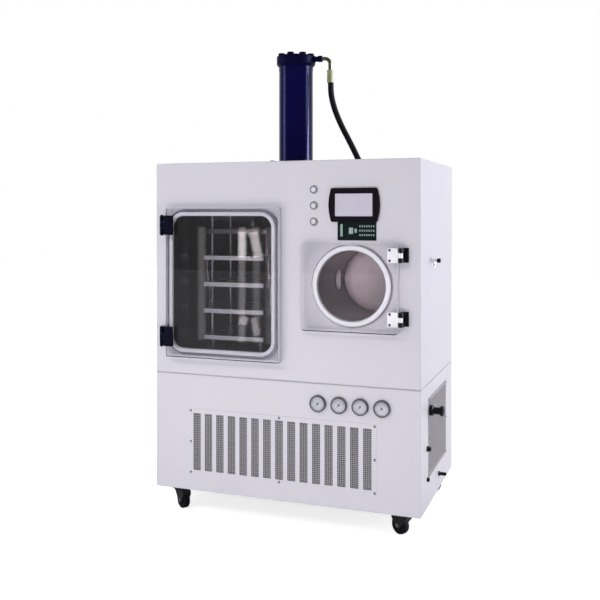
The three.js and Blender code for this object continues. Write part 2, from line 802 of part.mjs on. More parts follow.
function ramHead() {
  const profile = [
    [0, barrelTop - spigotDepth], [boreRadius - 0.9, barrelTop - spigotDepth], [boreRadius - 0.9, barrelTop],
    [headRadius - 8, barrelTop], [headRadius, barrelTop + 11], [headRadius, headTop - 2], [headRadius - 2, headTop],
    [0, headTop],
  ];
  const bolts = Array.from({ length: headBolts }, (_, i) => {
    const angle = (i * 2 * Math.PI) / headBolts;
    const at = [ramX + headBoltCircle * Math.cos(angle), stackY + headBoltCircle * Math.sin(angle)];
    return bar("z", headBoltRadius, [headTop - 1, headTop + headBoltHeight], at, 6);
  });
  const boss = bar("x", 15, [ramX + headRadius - 6, ramX + headRadius + 5], [stackY, portZ], 16);
  return fuse(turned("z", profile, ramAt, SMOOTH), ...bolts, boss);
}

// Piston, rod, the yoke under the cabinet's roof, and the push rod that passes the chamber's roof gland.
function pressRam() {
  const pistonTop = barrelTop - spigotDepth - 4;
  const yokeTop = top - yokeDrop;
  const yokeSpan = [yokeTop - yokeThickness, yokeTop];
  const half = yokeWidth / 2;
  const yoke = roundedRect([chamberX - half, ramX + half], around(stackY, yokeWidth), half - 0.01);
  return fuse(
    bar("z", boreRadius - 0.9, [pistonTop - 40, pistonTop], ramAt, 16),
    bar("z", pistonRodRadius, [yokeTop - 1, pistonTop - 39], ramAt, 16),
    flatPlate(yoke, yokeSpan, 3),
    bar("z", pushRodRadius, [pressPlateZ + pressPlateThickness / 2, yokeTop - yokeThickness + 1], [chamberX, stackY], 16),
  );
}

add("ram_barrel", ramBarrel(), bluePaint);
add("ram_head", ramHead(), bluePaint);
add("press_ram", pressRam(), chrome);

// ---------------------------------------------------------------- hydraulic hose
const ferruleTop = ferruleBottom + ferruleHeight;

function hoseFitting() {
  const start = ramX + headRadius + 5 + seatGap;
  const nutEnd = start + 32;
  const bendStart = ferruleX - bendRadius;
  const path = new THREE.CurvePath();
  const point = (x, z) => new THREE.Vector3(x, stackY, z);
  path.add(new THREE.LineCurve3(point(nutEnd - 2, portZ), point(bendStart, portZ)));
  path.add(new THREE.QuadraticBezierCurve3(
    point(bendStart, portZ), point(ferruleX, portZ), point(ferruleX, portZ - bendRadius),
  ));
  path.add(new THREE.LineCurve3(point(ferruleX, portZ - bendRadius), point(ferruleX, ferruleTop - 2)));
  const pipe = new THREE.ExtrudeGeometry(circle([0, 0], pipeRadius), {
    extrudePath: path, steps: 10, curveSegments: 4, bevelEnabled: false,
  });
  const ferrule = turned("z", [
    [0, ferruleBottom], [14, ferruleBottom], [14, ferruleTop - 22], [12, ferruleTop - 20], [12, ferruleTop - 14],
    [14, ferruleTop - 12], [14, ferruleTop - 3], [11, ferruleTop], [0, ferruleTop],
  ], [ferruleX, stackY], 10);
  return fuse(
    bar("x", 12.5, [start, start + 15], [stackY, portZ], 6),
    bar("x", 15, [start + 14, nutEnd], [stackY, portZ], 6),
    pipe,
    ferrule,
  );
}

function hose() {
  const route = new THREE.CatmullRomCurve3(hosePoints.map(([x, z]) => new THREE.Vector3(x, stackY, z)));
  return new THREE.ExtrudeGeometry(circle([0, 0], hoseRadius), {
    extrudePath: route, steps: 14, curveSegments: 4, bevelEnabled: false,
  });
}

// The rubber boot on the roof leans with the hose that runs into it.
function hoseBoot() {
  const cone = turned("z", [[0, -20], [24, -20], [21, 4], [16.5, bootLength], [0, bootLength]], [0, 0], 14);
  cone.rotateY(-bootTilt);
  const [endX, endZ] = hoseEnd;
  const reach = bootLength + seatGap;
  cone.translate(endX + reach * Math.sin(bootTilt), stackY, endZ - reach * Math.cos(bootTilt));
  const foot = [endX + 12, stackY];
  const below = box(around(endX, 200), around(stackY, 200), [top - 60, top]);
  return cut(fuse(cone, bar("z", 34, [top, top + 4], foot, 16)), below);
}

add("hose_fitting", hoseFitting(), zinc);
add("hydraulic_hose", hose(), blackRubber);
add("hose_boot", hoseBoot(), blackRubber);

// ---------------------------------------------------------------- cold trap
const trapAt = [trapX, trapZ];

function coldTrap() {
  const outer = trapRadius + trapWall;
  const end = trapDepth;
  const profile = [
    [0, end - trapWall], [trapRadius - 27, end - 9], [trapRadius, end - 36], [trapRadius, -flangeThickness],
    [trapRadius + trapFlange, -flangeThickness], [trapRadius + trapFlange, 0], [outer, 0], [outer, end - 34.5],
    [outer - 28, end - 6], [0, end],
  ];
  const chamberSide = chamberX + chamberWidth / 2 + chamberWall + seatGap;
  const ductAt = [ductY, trapZ];
  return cut(
    fuse(
      turned("y", profile, trapAt, SMOOTH),
      cut(
        bar("x", ductRadius, [chamberSide, trapX], ductAt, 14),
        bar("y", trapRadius + 1, [0, trapDepth], trapAt, SMOOTH),
      ),
    ),
    bar("x", ductRadius - trapWall, [chamberSide - 1, trapX], ductAt, 14),
  );
}

const trapGasketFront = -flangeThickness - trapGasketThickness;
const trapDoorBack = trapGasketFront - seatGap;
const trapDoorFront = trapDoorBack - trapDoorThickness;
const trapDoorRight = trapX + trapDoorShift + trapDoorWidth / 2;
const trapDoorZ = trapZ - trapDoorDrop;
const trapAxisX = trapDoorRight + trapHingeOffset;
const trapAxisY = trapDoorFront - 1;
const trapDoor = groupAt(trapAxisX, trapAxisY, 0);
const trapLeafZ = [trapZ - trapLeafPitch / 2, trapZ + trapLeafPitch / 2];

// The door's leaf: a screwed plate that rolls round the pin at mid height.
function trapLeaf(z) {
  const face = trapDoorFront - trapAxisY;
  const plateX = [trapDoorRight - trapLeafWidth - 1 - trapAxisX, trapDoorRight - 1 - trapAxisX];
  const knuckle = around(z, trapLeafHeight / 3 - 1);
  const leaf = roundedRect(plateX, around(z, trapLeafHeight), 4);
  return cut(
    fuse(
      frontPlate(leaf, [face - trapLeafThickness, face], 1),
      box([plateX[1] - 2, 0], [face - trapLeafThickness, face], knuckle),
      bar("z", trapKnuckleRadius, knuckle, [0, 0]),
    ),
    bore("z", trapPinRadius, pinClearance, around(z, trapLeafHeight), [0, 0]),
  );
}

// The cabinet's half: a foot, two lugs and the pin between them.
function trapPost(z) {
  const lugs = [-1, 1].map((way) => {
    const span = around(z + (way * trapLeafHeight) / 3, trapLeafHeight / 3 - 1);
    return fuse(
      bar("z", trapKnuckleRadius, span, [trapAxisX, trapAxisY]),
      box([trapAxisX - 6, trapAxisX + trapKnuckleRadius], [trapAxisY, 0], span),
    );
  });
  const foot = box([trapAxisX - 6, trapAxisX + 22], [-4, 0], around(z, trapLeafHeight));
  const pin = bar("z", trapPinRadius, around(z, trapLeafHeight), [trapAxisX, trapAxisY]);
  return fuse(foot, pin, ...lugs);
}

add("cold_trap", coldTrap(), stainless);
const trapRing = ring("y", trapGasketOuter, trapGasketInner, [trapGasketFront, -flangeThickness], trapAt, SMOOTH);
add("trap_gasket", trapRing, siliconeWhite);
const trapDoorX = [trapDoorRight - trapDoorWidth - trapAxisX, trapDoorRight - trapAxisX];
const trapPlate = roundedRect(trapDoorX, around(trapDoorZ, trapDoorHeight), trapDoorRadius);
const trapDoorSpan = [trapDoorFront - trapAxisY, trapDoorBack - trapAxisY];
add("trap_door", frontPlate(trapPlate, trapDoorSpan, 2), clearAcrylic, trapDoor);
trapLeafZ.forEach((z, i) => {
  const place = ["lower", "upper"][i];
  add(`trap_hinge_leaf_${place}`, trapLeaf(z), chrome, trapDoor);
  add(`trap_hinge_post_${place}`, trapPost(z), blackPlastic);
});

// ---------------------------------------------------------------- ports on the right-hand side
const ventFace = right + grilleSheet;

function vacuumPort() {
  const end = ventFace + vacuumPortReach;
  const r = vacuumPortRadius;
  return turned("x", [
    [0, right - 25], [r, right - 25], [r, ventFace], [r + 7, ventFace], [r + 7, ventFace + 14], [r, ventFace + 18],
    [r, end - 16], [r + 6, end - 12], [r + 6, end], [r - 3, end], [r - 3, ventFace], [0, ventFace],
  ], [vacuumPortY, vacuumPortZ], ROUND);
}

const glandProfile = [
  [0, right - 14], [6.5, right - 14], [6.5, right], [11, right], [11, right + 6], [9.5, right + 7],
  [9.5, right + 12], [6, right + 16], [0, right + 16],
];
const drainProfile = [
  [0, right - 18], [5, right - 18], [5, right], [10, right], [10, right + 6], [6.5, right + 8], [6.5, right + 24],
  [8, right + 25], [7, right + 32], [4.5, right + 32], [4.5, right + 6], [0, right + 6],
];

function ventValve() {
  return cut(
    fuse(
      bar("x", 4.6, [right - 16, right + 1], [valveY, valveZ], 10),
      bar("x", 12, [right, right + 8], [valveY, valveZ], 6),
      bar("x", 7.5, [right + 7, right + 26], [valveY, valveZ], 10),
      bar("z", 4.5, [valveZ - 24, valveZ], [right + 15, valveY], 8),
    ),
    bore("x", 3, pinClearance, [right + 14, right + 27], [valveY, valveZ], 10),
    bar("z", 2.8, [valveZ - 25, valveZ - 9], [right + 15, valveY], 6),
  );
}

const knobProfile = [
  [0, right + 16], [3, right + 16], [3, right + 26 + seatGap], [6, right + 26 + seatGap], [9, right + 29],
  [9, right + 39], [7, right + 41], [0, right + 41],
];

add("vacuum_port", vacuumPort(), blackSteel);
add("cable_gland", turned("x", glandProfile, [glandY, glandZ], 10), blackPlastic);
add("drain_spout", turned("x", drainProfile, [drainY, drainZ], 10), blackPlastic);
add("vent_valve", ventValve(), chrome);
add("vent_knob", turned("x", knobProfile, [valveY, valveZ]), blackPlastic);

// ---------------------------------------------------------------- casters, in frames that stand on the floor
const padBottom = casterHeight + sheet - casterPad[2];
const axleZ = wheelRadius * Math.cos(Math.PI / wheelSides);

function casterFork() {
  const neck = padBottom - seatGap;
  const hoodTop = neck - 6;
  const sideView = new THREE.Shape();
  sideView.moveTo(-24, hoodTop);
  sideView.lineTo(-24, hoodTop - 12);
  sideView.lineTo(casterTrail - 11, axleZ - 6);
  sideView.absarc(casterTrail, axleZ, 12, Math.PI + 0.5, 2 * Math.PI - 0.3);
  sideView.lineTo(casterTrail + 32, hoodTop - 26);
  sideView.quadraticCurveTo(casterTrail + 30, hoodTop, casterTrail + 6, hoodTop);
  sideView.closePath();
  const wheelAt = [casterTrail, axleZ];
  return fuse(
    cut(
      frontPlate(sideView, [-19, 19], 2),
      bar("y", wheelRadius + 4, [-15, 15], wheelAt, 12),
    ),
    bar("z", 24, [hoodTop - 2, neck], [0, 0], 12),
    bar("y", axleRadius, [-21, 21], wheelAt, 8),
  );
}

function casterWheel() {
  const half = wheelWidth / 2;
  const r = (axleRadius + pinClearance) / Math.cos(Math.PI / wheelSides);
  const wheel = turned("y", [
    [r, -half], [wheelRadius - 3, -half], [wheelRadius, 3 - half], [wheelRadius, half - 3], [wheelRadius - 3, half],
    [r, half], [r, -half],
  ], [0, 0], wheelSides);
  return wheel.rotateY(Math.PI / wheelSides).translate(casterTrail, 0, axleZ);
}

for (const { name, x, y, angle } of casterPlaces()) {
  const caster = groupAt(x, y, -casterHeight);
  caster.rotation.z = angle;
  add(`caster_fork_${name}`, casterFork(), blackSteel, caster);
  add(`caster_wheel_${name}`, casterWheel(), blackRubber, caster);
}

// ---------------------------------------------------------------- refrigeration, on the base tray
const trayTop = sheet + basePlate;
const fanAt = [grilleX, trayTop + coilHeight / 2];

function compressor() {
  const foot = roundedRect(around(compressorX, 210), around(compressorY, 170), 12);
  const r = compressorRadius;
  return fuse(
    flatPlate(foot, [trayTop, trayTop + 6], 1),
    turned("z", [
      [0, trayTop + 4], [r - 30, trayTop + 4], [r, trayTop + 36], [r, trayTop + 180], [r - 28, trayTop + 216],
      [r - 62, trayTop + 230], [0, trayTop + 232],
    ], [compressorX, compressorY], 14),
    bar("z", 9, [trayTop + 200, trayTop + 262], [compressorX - 45, compressorY], 10),
  );
}

// Finned coil, fan ring, motor bracket, motor and shaft.
function condenser() {
  const coilBack = coilY + coilDepth;
  const [fanX, fanZ] = fanAt;
  const strap = [coilBack + 44, coilBack + 50];
  const legs = [-1, 1].map((side) => box(around(fanX + side * 160, 12), [coilBack - 1, strap[1]], around(fanZ, 24)));
  return fuse(
    box(around(fanX, coilWidth), [coilY, coilBack], [trayTop, trayTop + coilHeight]),
    ring("y", fanRadius + 10, fanRadius + 6, [coilBack - 1, coilBack + 36], fanAt, 20),
    box(around(fanX, 332), strap, around(fanZ, 24)),
    ...legs,
    bar("y", 36, [strap[0], strap[0] + 70], fanAt, ROUND),
    bar("y", 6, [coilBack + 8, strap[0] + 1], fanAt, 10),
  );
}

function fan() {
  const coilBack = coilY + coilDepth;
  const hub = [coilBack + 12, coilBack + 36];
  const sweep = THREE.MathUtils.degToRad(46);
  const blade = new THREE.Shape();
  blade.absarc(0, 0, 24, 0, 0.7 * sweep);
  blade.absarc(0, 0, fanRadius, 1.1 * sweep, 0.1, true);
  blade.closePath();
  const blades = Array.from({ length: fanBlades }, (_, i) => {
    const flat = frontPlate(blade, [-1.5, 1.5], 2).rotateX(THREE.MathUtils.degToRad(9));
    return flat.rotateY((i * 2 * Math.PI) / fanBlades);
  });
  const middle = (hub[0] + hub[1]) / 2;
  const rotor = cut(
    fuse(bar("y", 32, around(0, hub[1] - hub[0]), [0, 0], ROUND), ...blades),
    bore("y", 6, pinClearance, [-20, 20], [0, 0], 10),
  );
  return rotor.translate(fanAt[0], middle, fanAt[1]);
}

add("compressor", compressor(), blackSteel);
add("condenser", condenser(), aluminium);
add("condenser_fan", fan(), blackPlastic);

export default machine;
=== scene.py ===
"""Pilot freeze dryer: finishes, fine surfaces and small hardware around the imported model.

The frame is in metres, +Z up. Shapes are worked out in millimetres and scaled once their mesh is made.
"""

import json
import math

import bmesh
import bpy
from mathutils import Matrix, Quaternion, Vector


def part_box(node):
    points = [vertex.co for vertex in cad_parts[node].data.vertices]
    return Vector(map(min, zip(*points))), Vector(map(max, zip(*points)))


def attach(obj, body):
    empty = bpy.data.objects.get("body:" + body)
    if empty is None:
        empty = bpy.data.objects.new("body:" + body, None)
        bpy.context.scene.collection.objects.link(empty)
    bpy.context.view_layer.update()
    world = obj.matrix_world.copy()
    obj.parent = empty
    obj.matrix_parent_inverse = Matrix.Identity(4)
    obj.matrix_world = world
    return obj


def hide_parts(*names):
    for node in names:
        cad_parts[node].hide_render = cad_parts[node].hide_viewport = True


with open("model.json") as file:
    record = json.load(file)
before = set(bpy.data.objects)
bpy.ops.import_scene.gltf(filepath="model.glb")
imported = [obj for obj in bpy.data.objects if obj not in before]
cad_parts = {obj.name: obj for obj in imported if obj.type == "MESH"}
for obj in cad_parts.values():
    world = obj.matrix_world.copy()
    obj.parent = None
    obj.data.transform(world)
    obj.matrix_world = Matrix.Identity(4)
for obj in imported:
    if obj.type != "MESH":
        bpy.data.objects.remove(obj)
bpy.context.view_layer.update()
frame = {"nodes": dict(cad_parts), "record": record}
NODES = frame["nodes"]
JOINTS = {joint["name"]: joint for joint in frame["record"]["behaviour"]["joints"]}
SCENE = bpy.context.scene
MM = 0.001
TO_METRES = Matrix.Scale(MM, 4)


# ---- places from the frame


class Place:
    """A CAD node's box in millimetres, with its corners, size and middle (x, y, z)."""

    def __init__(self, node):
        low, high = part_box(node)
        self.low = Vector(low) / MM
        self.high = Vector(high) / MM
        self.size = self.high - self.low
        self.x, self.y, self.z = (self.low + self.high) / 2


upper = Place("upper_cabinet")
lower = Place("lower_cabinet")
LEFT, RIGHT = lower.low.x, lower.high.x
FRONT, BACK = lower.low.y, upper.high.y
FLOOR_GAP, SEAM, ROOF = lower.low.z, lower.high.z, upper.high.z
CABINET_X = (LEFT + RIGHT) / 2


def new_piece(name, data):
    """An object made of the data, in the scene."""
    piece = bpy.data.objects.new(name, data)
    SCENE.collection.objects.link(piece)
    return piece


# ---- camera

LENS = 49.71
SENSOR_WIDTH = 36
VIEW_TURN = 0.34867
VIEW_SHIFT = -0.1427
VIEW_OFFSET = Vector((1202.3, -3084.7, 1246.4))


def make_camera():
    """A level camera, placed from the foot of the cabinet's front."""
    data = bpy.data.cameras.new("camera")
    data.lens = LENS
    data.sensor_width = SENSOR_WIDTH
    data.shift_y = VIEW_SHIFT
    camera = new_piece("camera", data)
    camera.location = (Vector((CABINET_X, FRONT, 0)) + VIEW_OFFSET) * MM
    camera.rotation_euler = (math.pi / 2, 0, VIEW_TURN)
    SCENE.camera = camera


make_camera()


# ---- shader groups

FLOAT = "NodeSocketFloat"
COLOUR = "NodeSocketColor"
VECTOR = "NodeSocketVector"
WHOLE = "NodeSocketInt"
SHAPE = "NodeSocketGeometry"
PAINT_SHADE = (0.8, 0.79, 0.84, 1)
METAL_SHADE = (0.55, 0.54, 0.56, 1)
DUST = (0.38, 0.36, 0.34, 1)


def add_node(tree, kind, links=None, **values):
    """A node with its properties set, and its sockets set or linked by name or number."""
    node = tree.nodes.new(kind)
    for key, value in values.items():
        setattr(node, key, value)
    for key, value in (links or {}).items():
        if isinstance(value, bpy.types.NodeSocket):
            tree.links.new(value, node.inputs[key])
        else:
            node.inputs[key].default_value = value
    return node


def result(*node, **values):
    """The first output of a new node."""
    return add_node(*node, **values).outputs[0]


def maths(tree, operation, *values):
    return result(tree, "ShaderNodeMath", dict(enumerate(values)), operation=operation)


def noise(tree, where, scale, detail):
    links = {"Vector": where, "Scale": scale, "Detail": detail}
    return add_node(tree, "ShaderNodeTexNoise", links).outputs["Fac"]


def mix_colour(tree, factor, a, b, mode="MIX"):
    links = {0: factor, 6: a, 7: b}
    return add_node(tree, "ShaderNodeMix", links, data_type="RGBA", blend_type=mode).outputs[2]


def ramp(tree, factor, low, high):
    """Factor from low to high becomes 0 to 1, clamped."""
    return result(tree, "ShaderNodeMapRange", {0: factor, 1: low, 2: high})


def surface_group(name, inputs, build):
    """A shader group with (name, kind, value) inputs. Build makes its colour, roughness and height."""
    tree = bpy.data.node_groups.new(name, "ShaderNodeTree")
    for label, kind, value in inputs:
        tree.interface.new_socket(label, in_out="INPUT", socket_type=kind).default_value = value
    for label, kind in (("Colour", COLOUR), ("Roughness", FLOAT), ("Height", FLOAT)):
        tree.interface.new_socket(label, in_out="OUTPUT", socket_type=kind)
    given = tree.nodes.new("NodeGroupInput").outputs
    leave = tree.nodes.new("NodeGroupOutput")
    where = tree.nodes.new("ShaderNodeTexCoord").outputs["Object"]
    for socket, made in zip(leave.inputs, build(tree, given, where)):
        tree.links.new(made, socket)
    return tree


def sprayed_coat(tree, given, where):
    """Sprayed paint: orange peel, slow tint drift and a trace of dust towards the floor."""
    smudge = noise(tree, where, 11.0, 5.0)
    darker = mix_colour(tree, 1.0, given["Colour"], PAINT_SHADE, "MULTIPLY")
    patch = maths(tree, "MULTIPLY", ramp(tree, noise(tree, where, 3.1, 3.0), 0.35, 0.7), given["Drift"])
    tinted = mix_colour(tree, patch, given["Colour"], darker)
    height = add_node(tree, "ShaderNodeSeparateXYZ", {0: where}).outputs["Z"]
    near_floor = ramp(tree, height, given["Dust Top"], 0.0)
    speck = maths(tree, "MULTIPLY", near_floor, ramp(tree, smudge, 0.4, 0.75))
    dusty = mix_colour(tree, maths(tree, "MULTIPLY", speck, given["Dust"]), tinted, DUST)
    rough = maths(tree, "MULTIPLY_ADD", smudge, 0.12, given["Roughness"])
    return dusty, rough, noise(tree, where, given["Peel Scale"], 2.0)


def drawn_metal(tree, given, where):
    """Drawn or brushed metal: fine lines along one axis, with cloudy wear."""
    stretched = result(tree, "ShaderNodeVectorMath", {0: where, 1: given["Grain"]}, operation="MULTIPLY")
    lines = noise(tree, stretched, 1.0, 2.0)
    cloud = noise(tree, where, 9.0, 4.0)
    darker = mix_colour(tree, 1.0, given["Colour"], METAL_SHADE, "MULTIPLY")
    toned = mix_colour(tree, maths(tree, "MULTIPLY", lines, given["Contrast"]), given["Colour"], darker)
    stain = maths(tree, "MULTIPLY", ramp(tree, cloud, 0.45, 0.75), given["Stain"])
    rough = maths(tree, "MULTIPLY_ADD", cloud, 0.12, given["Roughness"])
    return mix_colour(tree, stain, toned, darker), rough, lines


def moulded_skin(tree, given, where):
    """Moulded plastic or rubber: a fine stipple, pale scuffs and cloudy gloss."""
    cloud = noise(tree, where, 34.0, 6.0)
    scuffed = maths(tree, "MULTIPLY", ramp(tree, cloud, 0.52, 0.8), given["Scuffing"])
    colour = mix_colour(tree, scuffed, given["Colour"], given["Scuff"])
    rough = maths(tree, "MULTIPLY_ADD", cloud, 0.15, given["Roughness"])
    return colour, rough, noise(tree, where, given["Stipple Scale"], 1.0)


COAT = surface_group(
    "sprayed_coat",
    [("Colour", COLOUR, (0.8, 0.8, 0.8, 1)), ("Peel Scale", FLOAT, 260.0), ("Drift", FLOAT, 0.04),
     ("Dust", FLOAT, 0.1), ("Dust Top", FLOAT, 0.3), ("Roughness", FLOAT, 0.4)],
    sprayed_coat,
)
GRAIN = surface_group(
    "drawn_metal",
    [("Colour", COLOUR, (0.6, 0.6, 0.6, 1)), ("Grain", VECTOR, (40.0, 900.0, 900.0)), ("Contrast", FLOAT, 0.2),
     ("Roughness", FLOAT, 0.25), ("Stain", FLOAT, 0.1)],
    drawn_metal,
)
SKIN = surface_group(
    "moulded_skin",
    [("Colour", COLOUR, (0.05, 0.05, 0.05, 1)), ("Scuff", COLOUR, (0.3, 0.3, 0.3, 1)), ("Scuffing", FLOAT, 0.2),
     ("Stipple Scale", FLOAT, 700.0), ("Roughness", FLOAT, 0.5)],
    moulded_skin,
)


# ---- materials

BUMP_DEPTH = 0.0004


def new_material(name):
    made = bpy.data.materials.new(name)
    made.use_nodes = True
    return made, made.node_tree, made.node_tree.nodes["Principled BSDF"]


def set_values(sockets, values):
    for key, value in values.items():
        sockets[key].default_value = value


def material(name, group, colour, roughness, bump, specular=0.5, metallic=0.0, tint=(1, 1, 1), **values):
    """A Principled material whose colour, roughness and bump come from a group, given the group's values."""
    made, tree, principled = new_material(name)
    values = {"colour": (*colour, 1), "roughness": roughness, **values}
    links = {key.title(): value for key, value in values.items()}
    source = add_node(tree, "ShaderNodeGroup", links, node_tree=group).outputs
    relief = {"Strength": bump, "Distance": BUMP_DEPTH, "Height": source["Height"]}
    tree.links.new(source["Colour"], principled.inputs["Base Color"])
    tree.links.new(source["Roughness"], principled.inputs["Roughness"])
    tree.links.new(result(tree, "ShaderNodeBump", relief), principled.inputs["Normal"])
    set_values(principled.inputs, {
        "Metallic": metallic, "Specular IOR Level": specular, "Specular Tint": (*tint, 1),
    })
    return made


def paint(name, *look, **more):
    return material(name, COAT, *look, **more)


def metal(name, *look, metallic=1.0, **more):
    return material(name, GRAIN, *look, metallic=metallic, **more)


def moulded(name, colour, *look, scuff=None, **more):
    """Plastic or rubber. Its scuffs are a paler grey of its colour unless they are given."""
    scuff = scuff or [0.6 * channel + 0.08 for channel in colour]
    return material(name, SKIN, colour, *look, scuff=(*scuff, 1), **more)


def passes_light(made):
    """Lets the lamps' light through a material, so that it throws hardly any shadow."""
    tree = made.node_tree
    through = result(tree, "ShaderNodeBsdfTransparent", {"Color": (0.99, 0.99, 1.0, 1)})
    shadow = tree.nodes.new("ShaderNodeLightPath").outputs["Is Shadow Ray"]
    surface = tree.nodes["Principled BSDF"].outputs[0]
    mixed = result(tree, "ShaderNodeMixShader", {0: shadow, 1: surface, 2: through})
    tree.links.new(mixed, tree.nodes["Material Output"].inputs["Surface"])


def clear_plate(name, tint, roughness):
    """Clear plate that lets the lamps light what is behind it."""
    made, tree, principled = new_material(name)
    scuff = [0.94 * channel for channel in tint]
    source = add_node(tree, "ShaderNodeGroup", {"Colour": (*tint, 1), "Scuff": (*scuff, 1)}, node_tree=SKIN)
    tree.links.new(source.outputs["Colour"], principled.inputs["Base Color"])
    set_values(principled.inputs, {
        "Roughness": roughness, "IOR": 1.49, "Specular IOR Level": 0.2, "Transmission Weight": 1.0,
    })
    passes_light(made)
    return made


NAVY_SHEEN = (0.42, 0.42, 0.95)
# Colour, roughness, bump and specular level.
WHITE_COAT = paint("white_powder_coat", (0.66, 0.64, 0.695), 0.42, 0.06, 0.3)
# Near-black inside finish: painted shade for the dark inside of the cabinet, used on its inside walls, the back
# cover's inner face and the louvre hoods.
INSIDE_SHADE = paint("inside_primer", (0.03, 0.03, 0.032), 0.6, 0.06, 0.1)
GREY_COAT = paint("grey_vent_paint", (0.33, 0.31, 0.34), 0.5, 0.08, 0.2)
MESH_COAT = paint("grille_mesh_paint", (0.345, 0.335, 0.355), 0.5, 0.08, 0.2)
NAVY_COAT = paint("navy_enamel", (0.004, 0.003, 0.045), 0.12, 0.03, 0.1, tint=NAVY_SHEEN, drift=0.3, dust=0.0)
HEAD_COAT = paint(
    "dark_head_enamel", (0.004, 0.003, 0.026), 0.34, 0.04, 0.03, tint=NAVY_SHEEN, drift=0.3, dust=0.0,
)
DARK_COAT = paint("dark_machine_paint", (0.006, 0.006, 0.007), 0.4, 0.15, 0.15)
# Polished stainless for the chamber and its pressing plate. The grain is real, and its colour is far darker than
# steel: painted shade for the chamber's dark inside.
POLISHED_IN_SHADE = metal("polished_stainless", (0.165, 0.145, 0.153), 0.09, 0.0, contrast=0.3)
# The trap's steel in two copies. The pale copy for the bottom carries a pink that is a painted reflection. The
# near-black copy for the walls is painted shade; the stains are real.
TRAP_LIT_STEEL = metal(
    "trap_stainless", (0.82, 0.7, 0.74), 0.4, 0.0, metallic=0.25, grain=(90.0, 90.0, 4.0), contrast=0.35,
    stain=0.3,
)
BRIGHT_LEAF = metal("satin_leaf_plate", (0.9, 0.88, 0.91), 0.45, 0.02, metallic=0.1, contrast=0.1)
TRAP_SHADED_WALL = metal(
    "trap_wall_stainless", (0.055, 0.038, 0.044), 0.14, 0.0, grain=(34.0, 3.0, 34.0), contrast=1.0,
)
PALE_FLANGE = metal("ground_flange_steel", (0.5, 0.48, 0.52), 0.4, 0.02)
FLANGE_STEEL = metal("turned_flange_steel", (0.4, 0.4, 0.48), 0.18, 0.02, contrast=0.3)
SHELF_STEEL = metal("ground_stainless", (0.62, 0.6, 0.65), 0.2, 0.03, contrast=0.25)
HARD_CHROME = metal("hard_chrome", (0.86, 0.86, 0.88), 0.12, 0.0, contrast=0.1)
PLATED_ZINC = metal("yellow_zinc_plate", (0.36, 0.37, 0.2), 0.5, 0.05, metallic=0.3, contrast=0.5)
OLIVE_PIPE = metal("olive_pipe_plate", (0.17, 0.18, 0.1), 0.3, 0.04, contrast=0.4)
DARK_ANODISED = metal("dark_anodising", (0.016, 0.016, 0.034), 0.3, 0.05, contrast=0.3)
FIN_STOCK = metal("dusty_fin_stock", (0.035, 0.035, 0.038), 0.55, 0.06)
COVER_SCREW = metal("cover_screw_steel", (0.36, 0.35, 0.37), 0.35, 0.02)
SCREW_STEEL = metal("dark_screw_steel", (0.2, 0.195, 0.21), 0.3, 0.02)
BRIGHT_STEEL = metal("bright_screw_steel", (0.6, 0.6, 0.63), 0.2, 0.02)
SILICONE = moulded("white_silicone", (0.84, 0.83, 0.86), 0.5, 0.04, 0.3, scuff=(0.74, 0.73, 0.76))
BLACK_RUBBER = moulded("black_rubber", (0.005, 0.005, 0.006), 0.6, 0.12, 0.12, scuff=(0.02, 0.02, 0.02))
BLACK_PLASTIC = moulded("black_plastic", (0.005, 0.005, 0.006), 0.4, 0.08, 0.15, scuff=(0.02, 0.02, 0.02))
GLOSS_BLACK = moulded("gloss_black_bezel", (0.008, 0.005, 0.01), 0.25, 0.02, 0.12, scuff=(0.02, 0.018, 0.024))
DIAL_WHITE = moulded("dial_white", (0.7, 0.69, 0.73), 0.35, 0.02, scuffing=0.05)
DIAL_GREY = moulded("dial_print", (0.12, 0.115, 0.14), 0.5, 0.02)
RING_GREY = moulded("button_ring_grey", (0.26, 0.25, 0.28), 0.3, 0.03)
RIM_GREY = moulded("gauge_rim_grey", (0.1, 0.095, 0.12), 0.35, 0.03)
SCREEN_GLASS = moulded(
    "display_glass", (0.58, 0.55, 0.64), 0.12, 0.01, 0.2, scuff=(0.5, 0.48, 0.58), scuffing=0.4,
)
BOARD_GREEN = moulded("board_green", (0.003, 0.01, 0.009), 0.35, 0.04, 0.15)
BOARD_PALE = moulded("board_print", (0.3, 0.4, 0.37), 0.4, 0.02)
SEAM_FOAM = moulded("seam_foam", (0.5, 0.49, 0.53), 0.8, 0.1, 0.1)
# Dark underside of the clear doors: painted shade for the shadow line below them.
SHADED_EDGE = moulded("sawn_acrylic_underside", (0.1, 0.098, 0.105), 0.5, 0.1, 0.2, scuff=(0.12, 0.12, 0.13))
SAWN_EDGE = moulded("sawn_acrylic_edge", (0.6, 0.59, 0.63), 0.5, 0.1, 0.2, scuff=(0.5, 0.49, 0.53))
CLEAR_DOOR = clear_plate("clear_acrylic", (1.0, 1.0, 1.0), 0.015)
CLEAR_LENS = clear_plate("clear_lens", (0.99, 0.99, 1.0), 0.01)
passes_light(SAWN_EDGE)


# ---- mesh helpers

JOIN_WITHIN = 0.001
CAD_JOIN_WITHIN = 0.000002
CAD_FLAT_ANGLE = math.radians(1)
BEVEL_ANGLE = math.radians(30)
SMOOTH_ANGLE = 35
LOOKS_ALONG = 0.9


def smooth(mesh, angle):
    mesh.shade_smooth()
    mesh.set_sharp_from_angle(angle=math.radians(angle))


def mesh_of(name, bm):
    mesh = bpy.data.meshes.new(name)
    bm.to_mesh(mesh)
    bm.free()
    return mesh


def clean_mesh(name, bm):
    """A mesh with its doubles joined and its faces turned outwards."""
    bmesh.ops.remove_doubles(bm, verts=bm.verts, dist=JOIN_WITHIN)
    bmesh.ops.recalc_face_normals(bm, faces=bm.faces)
    return mesh_of(name, bm)


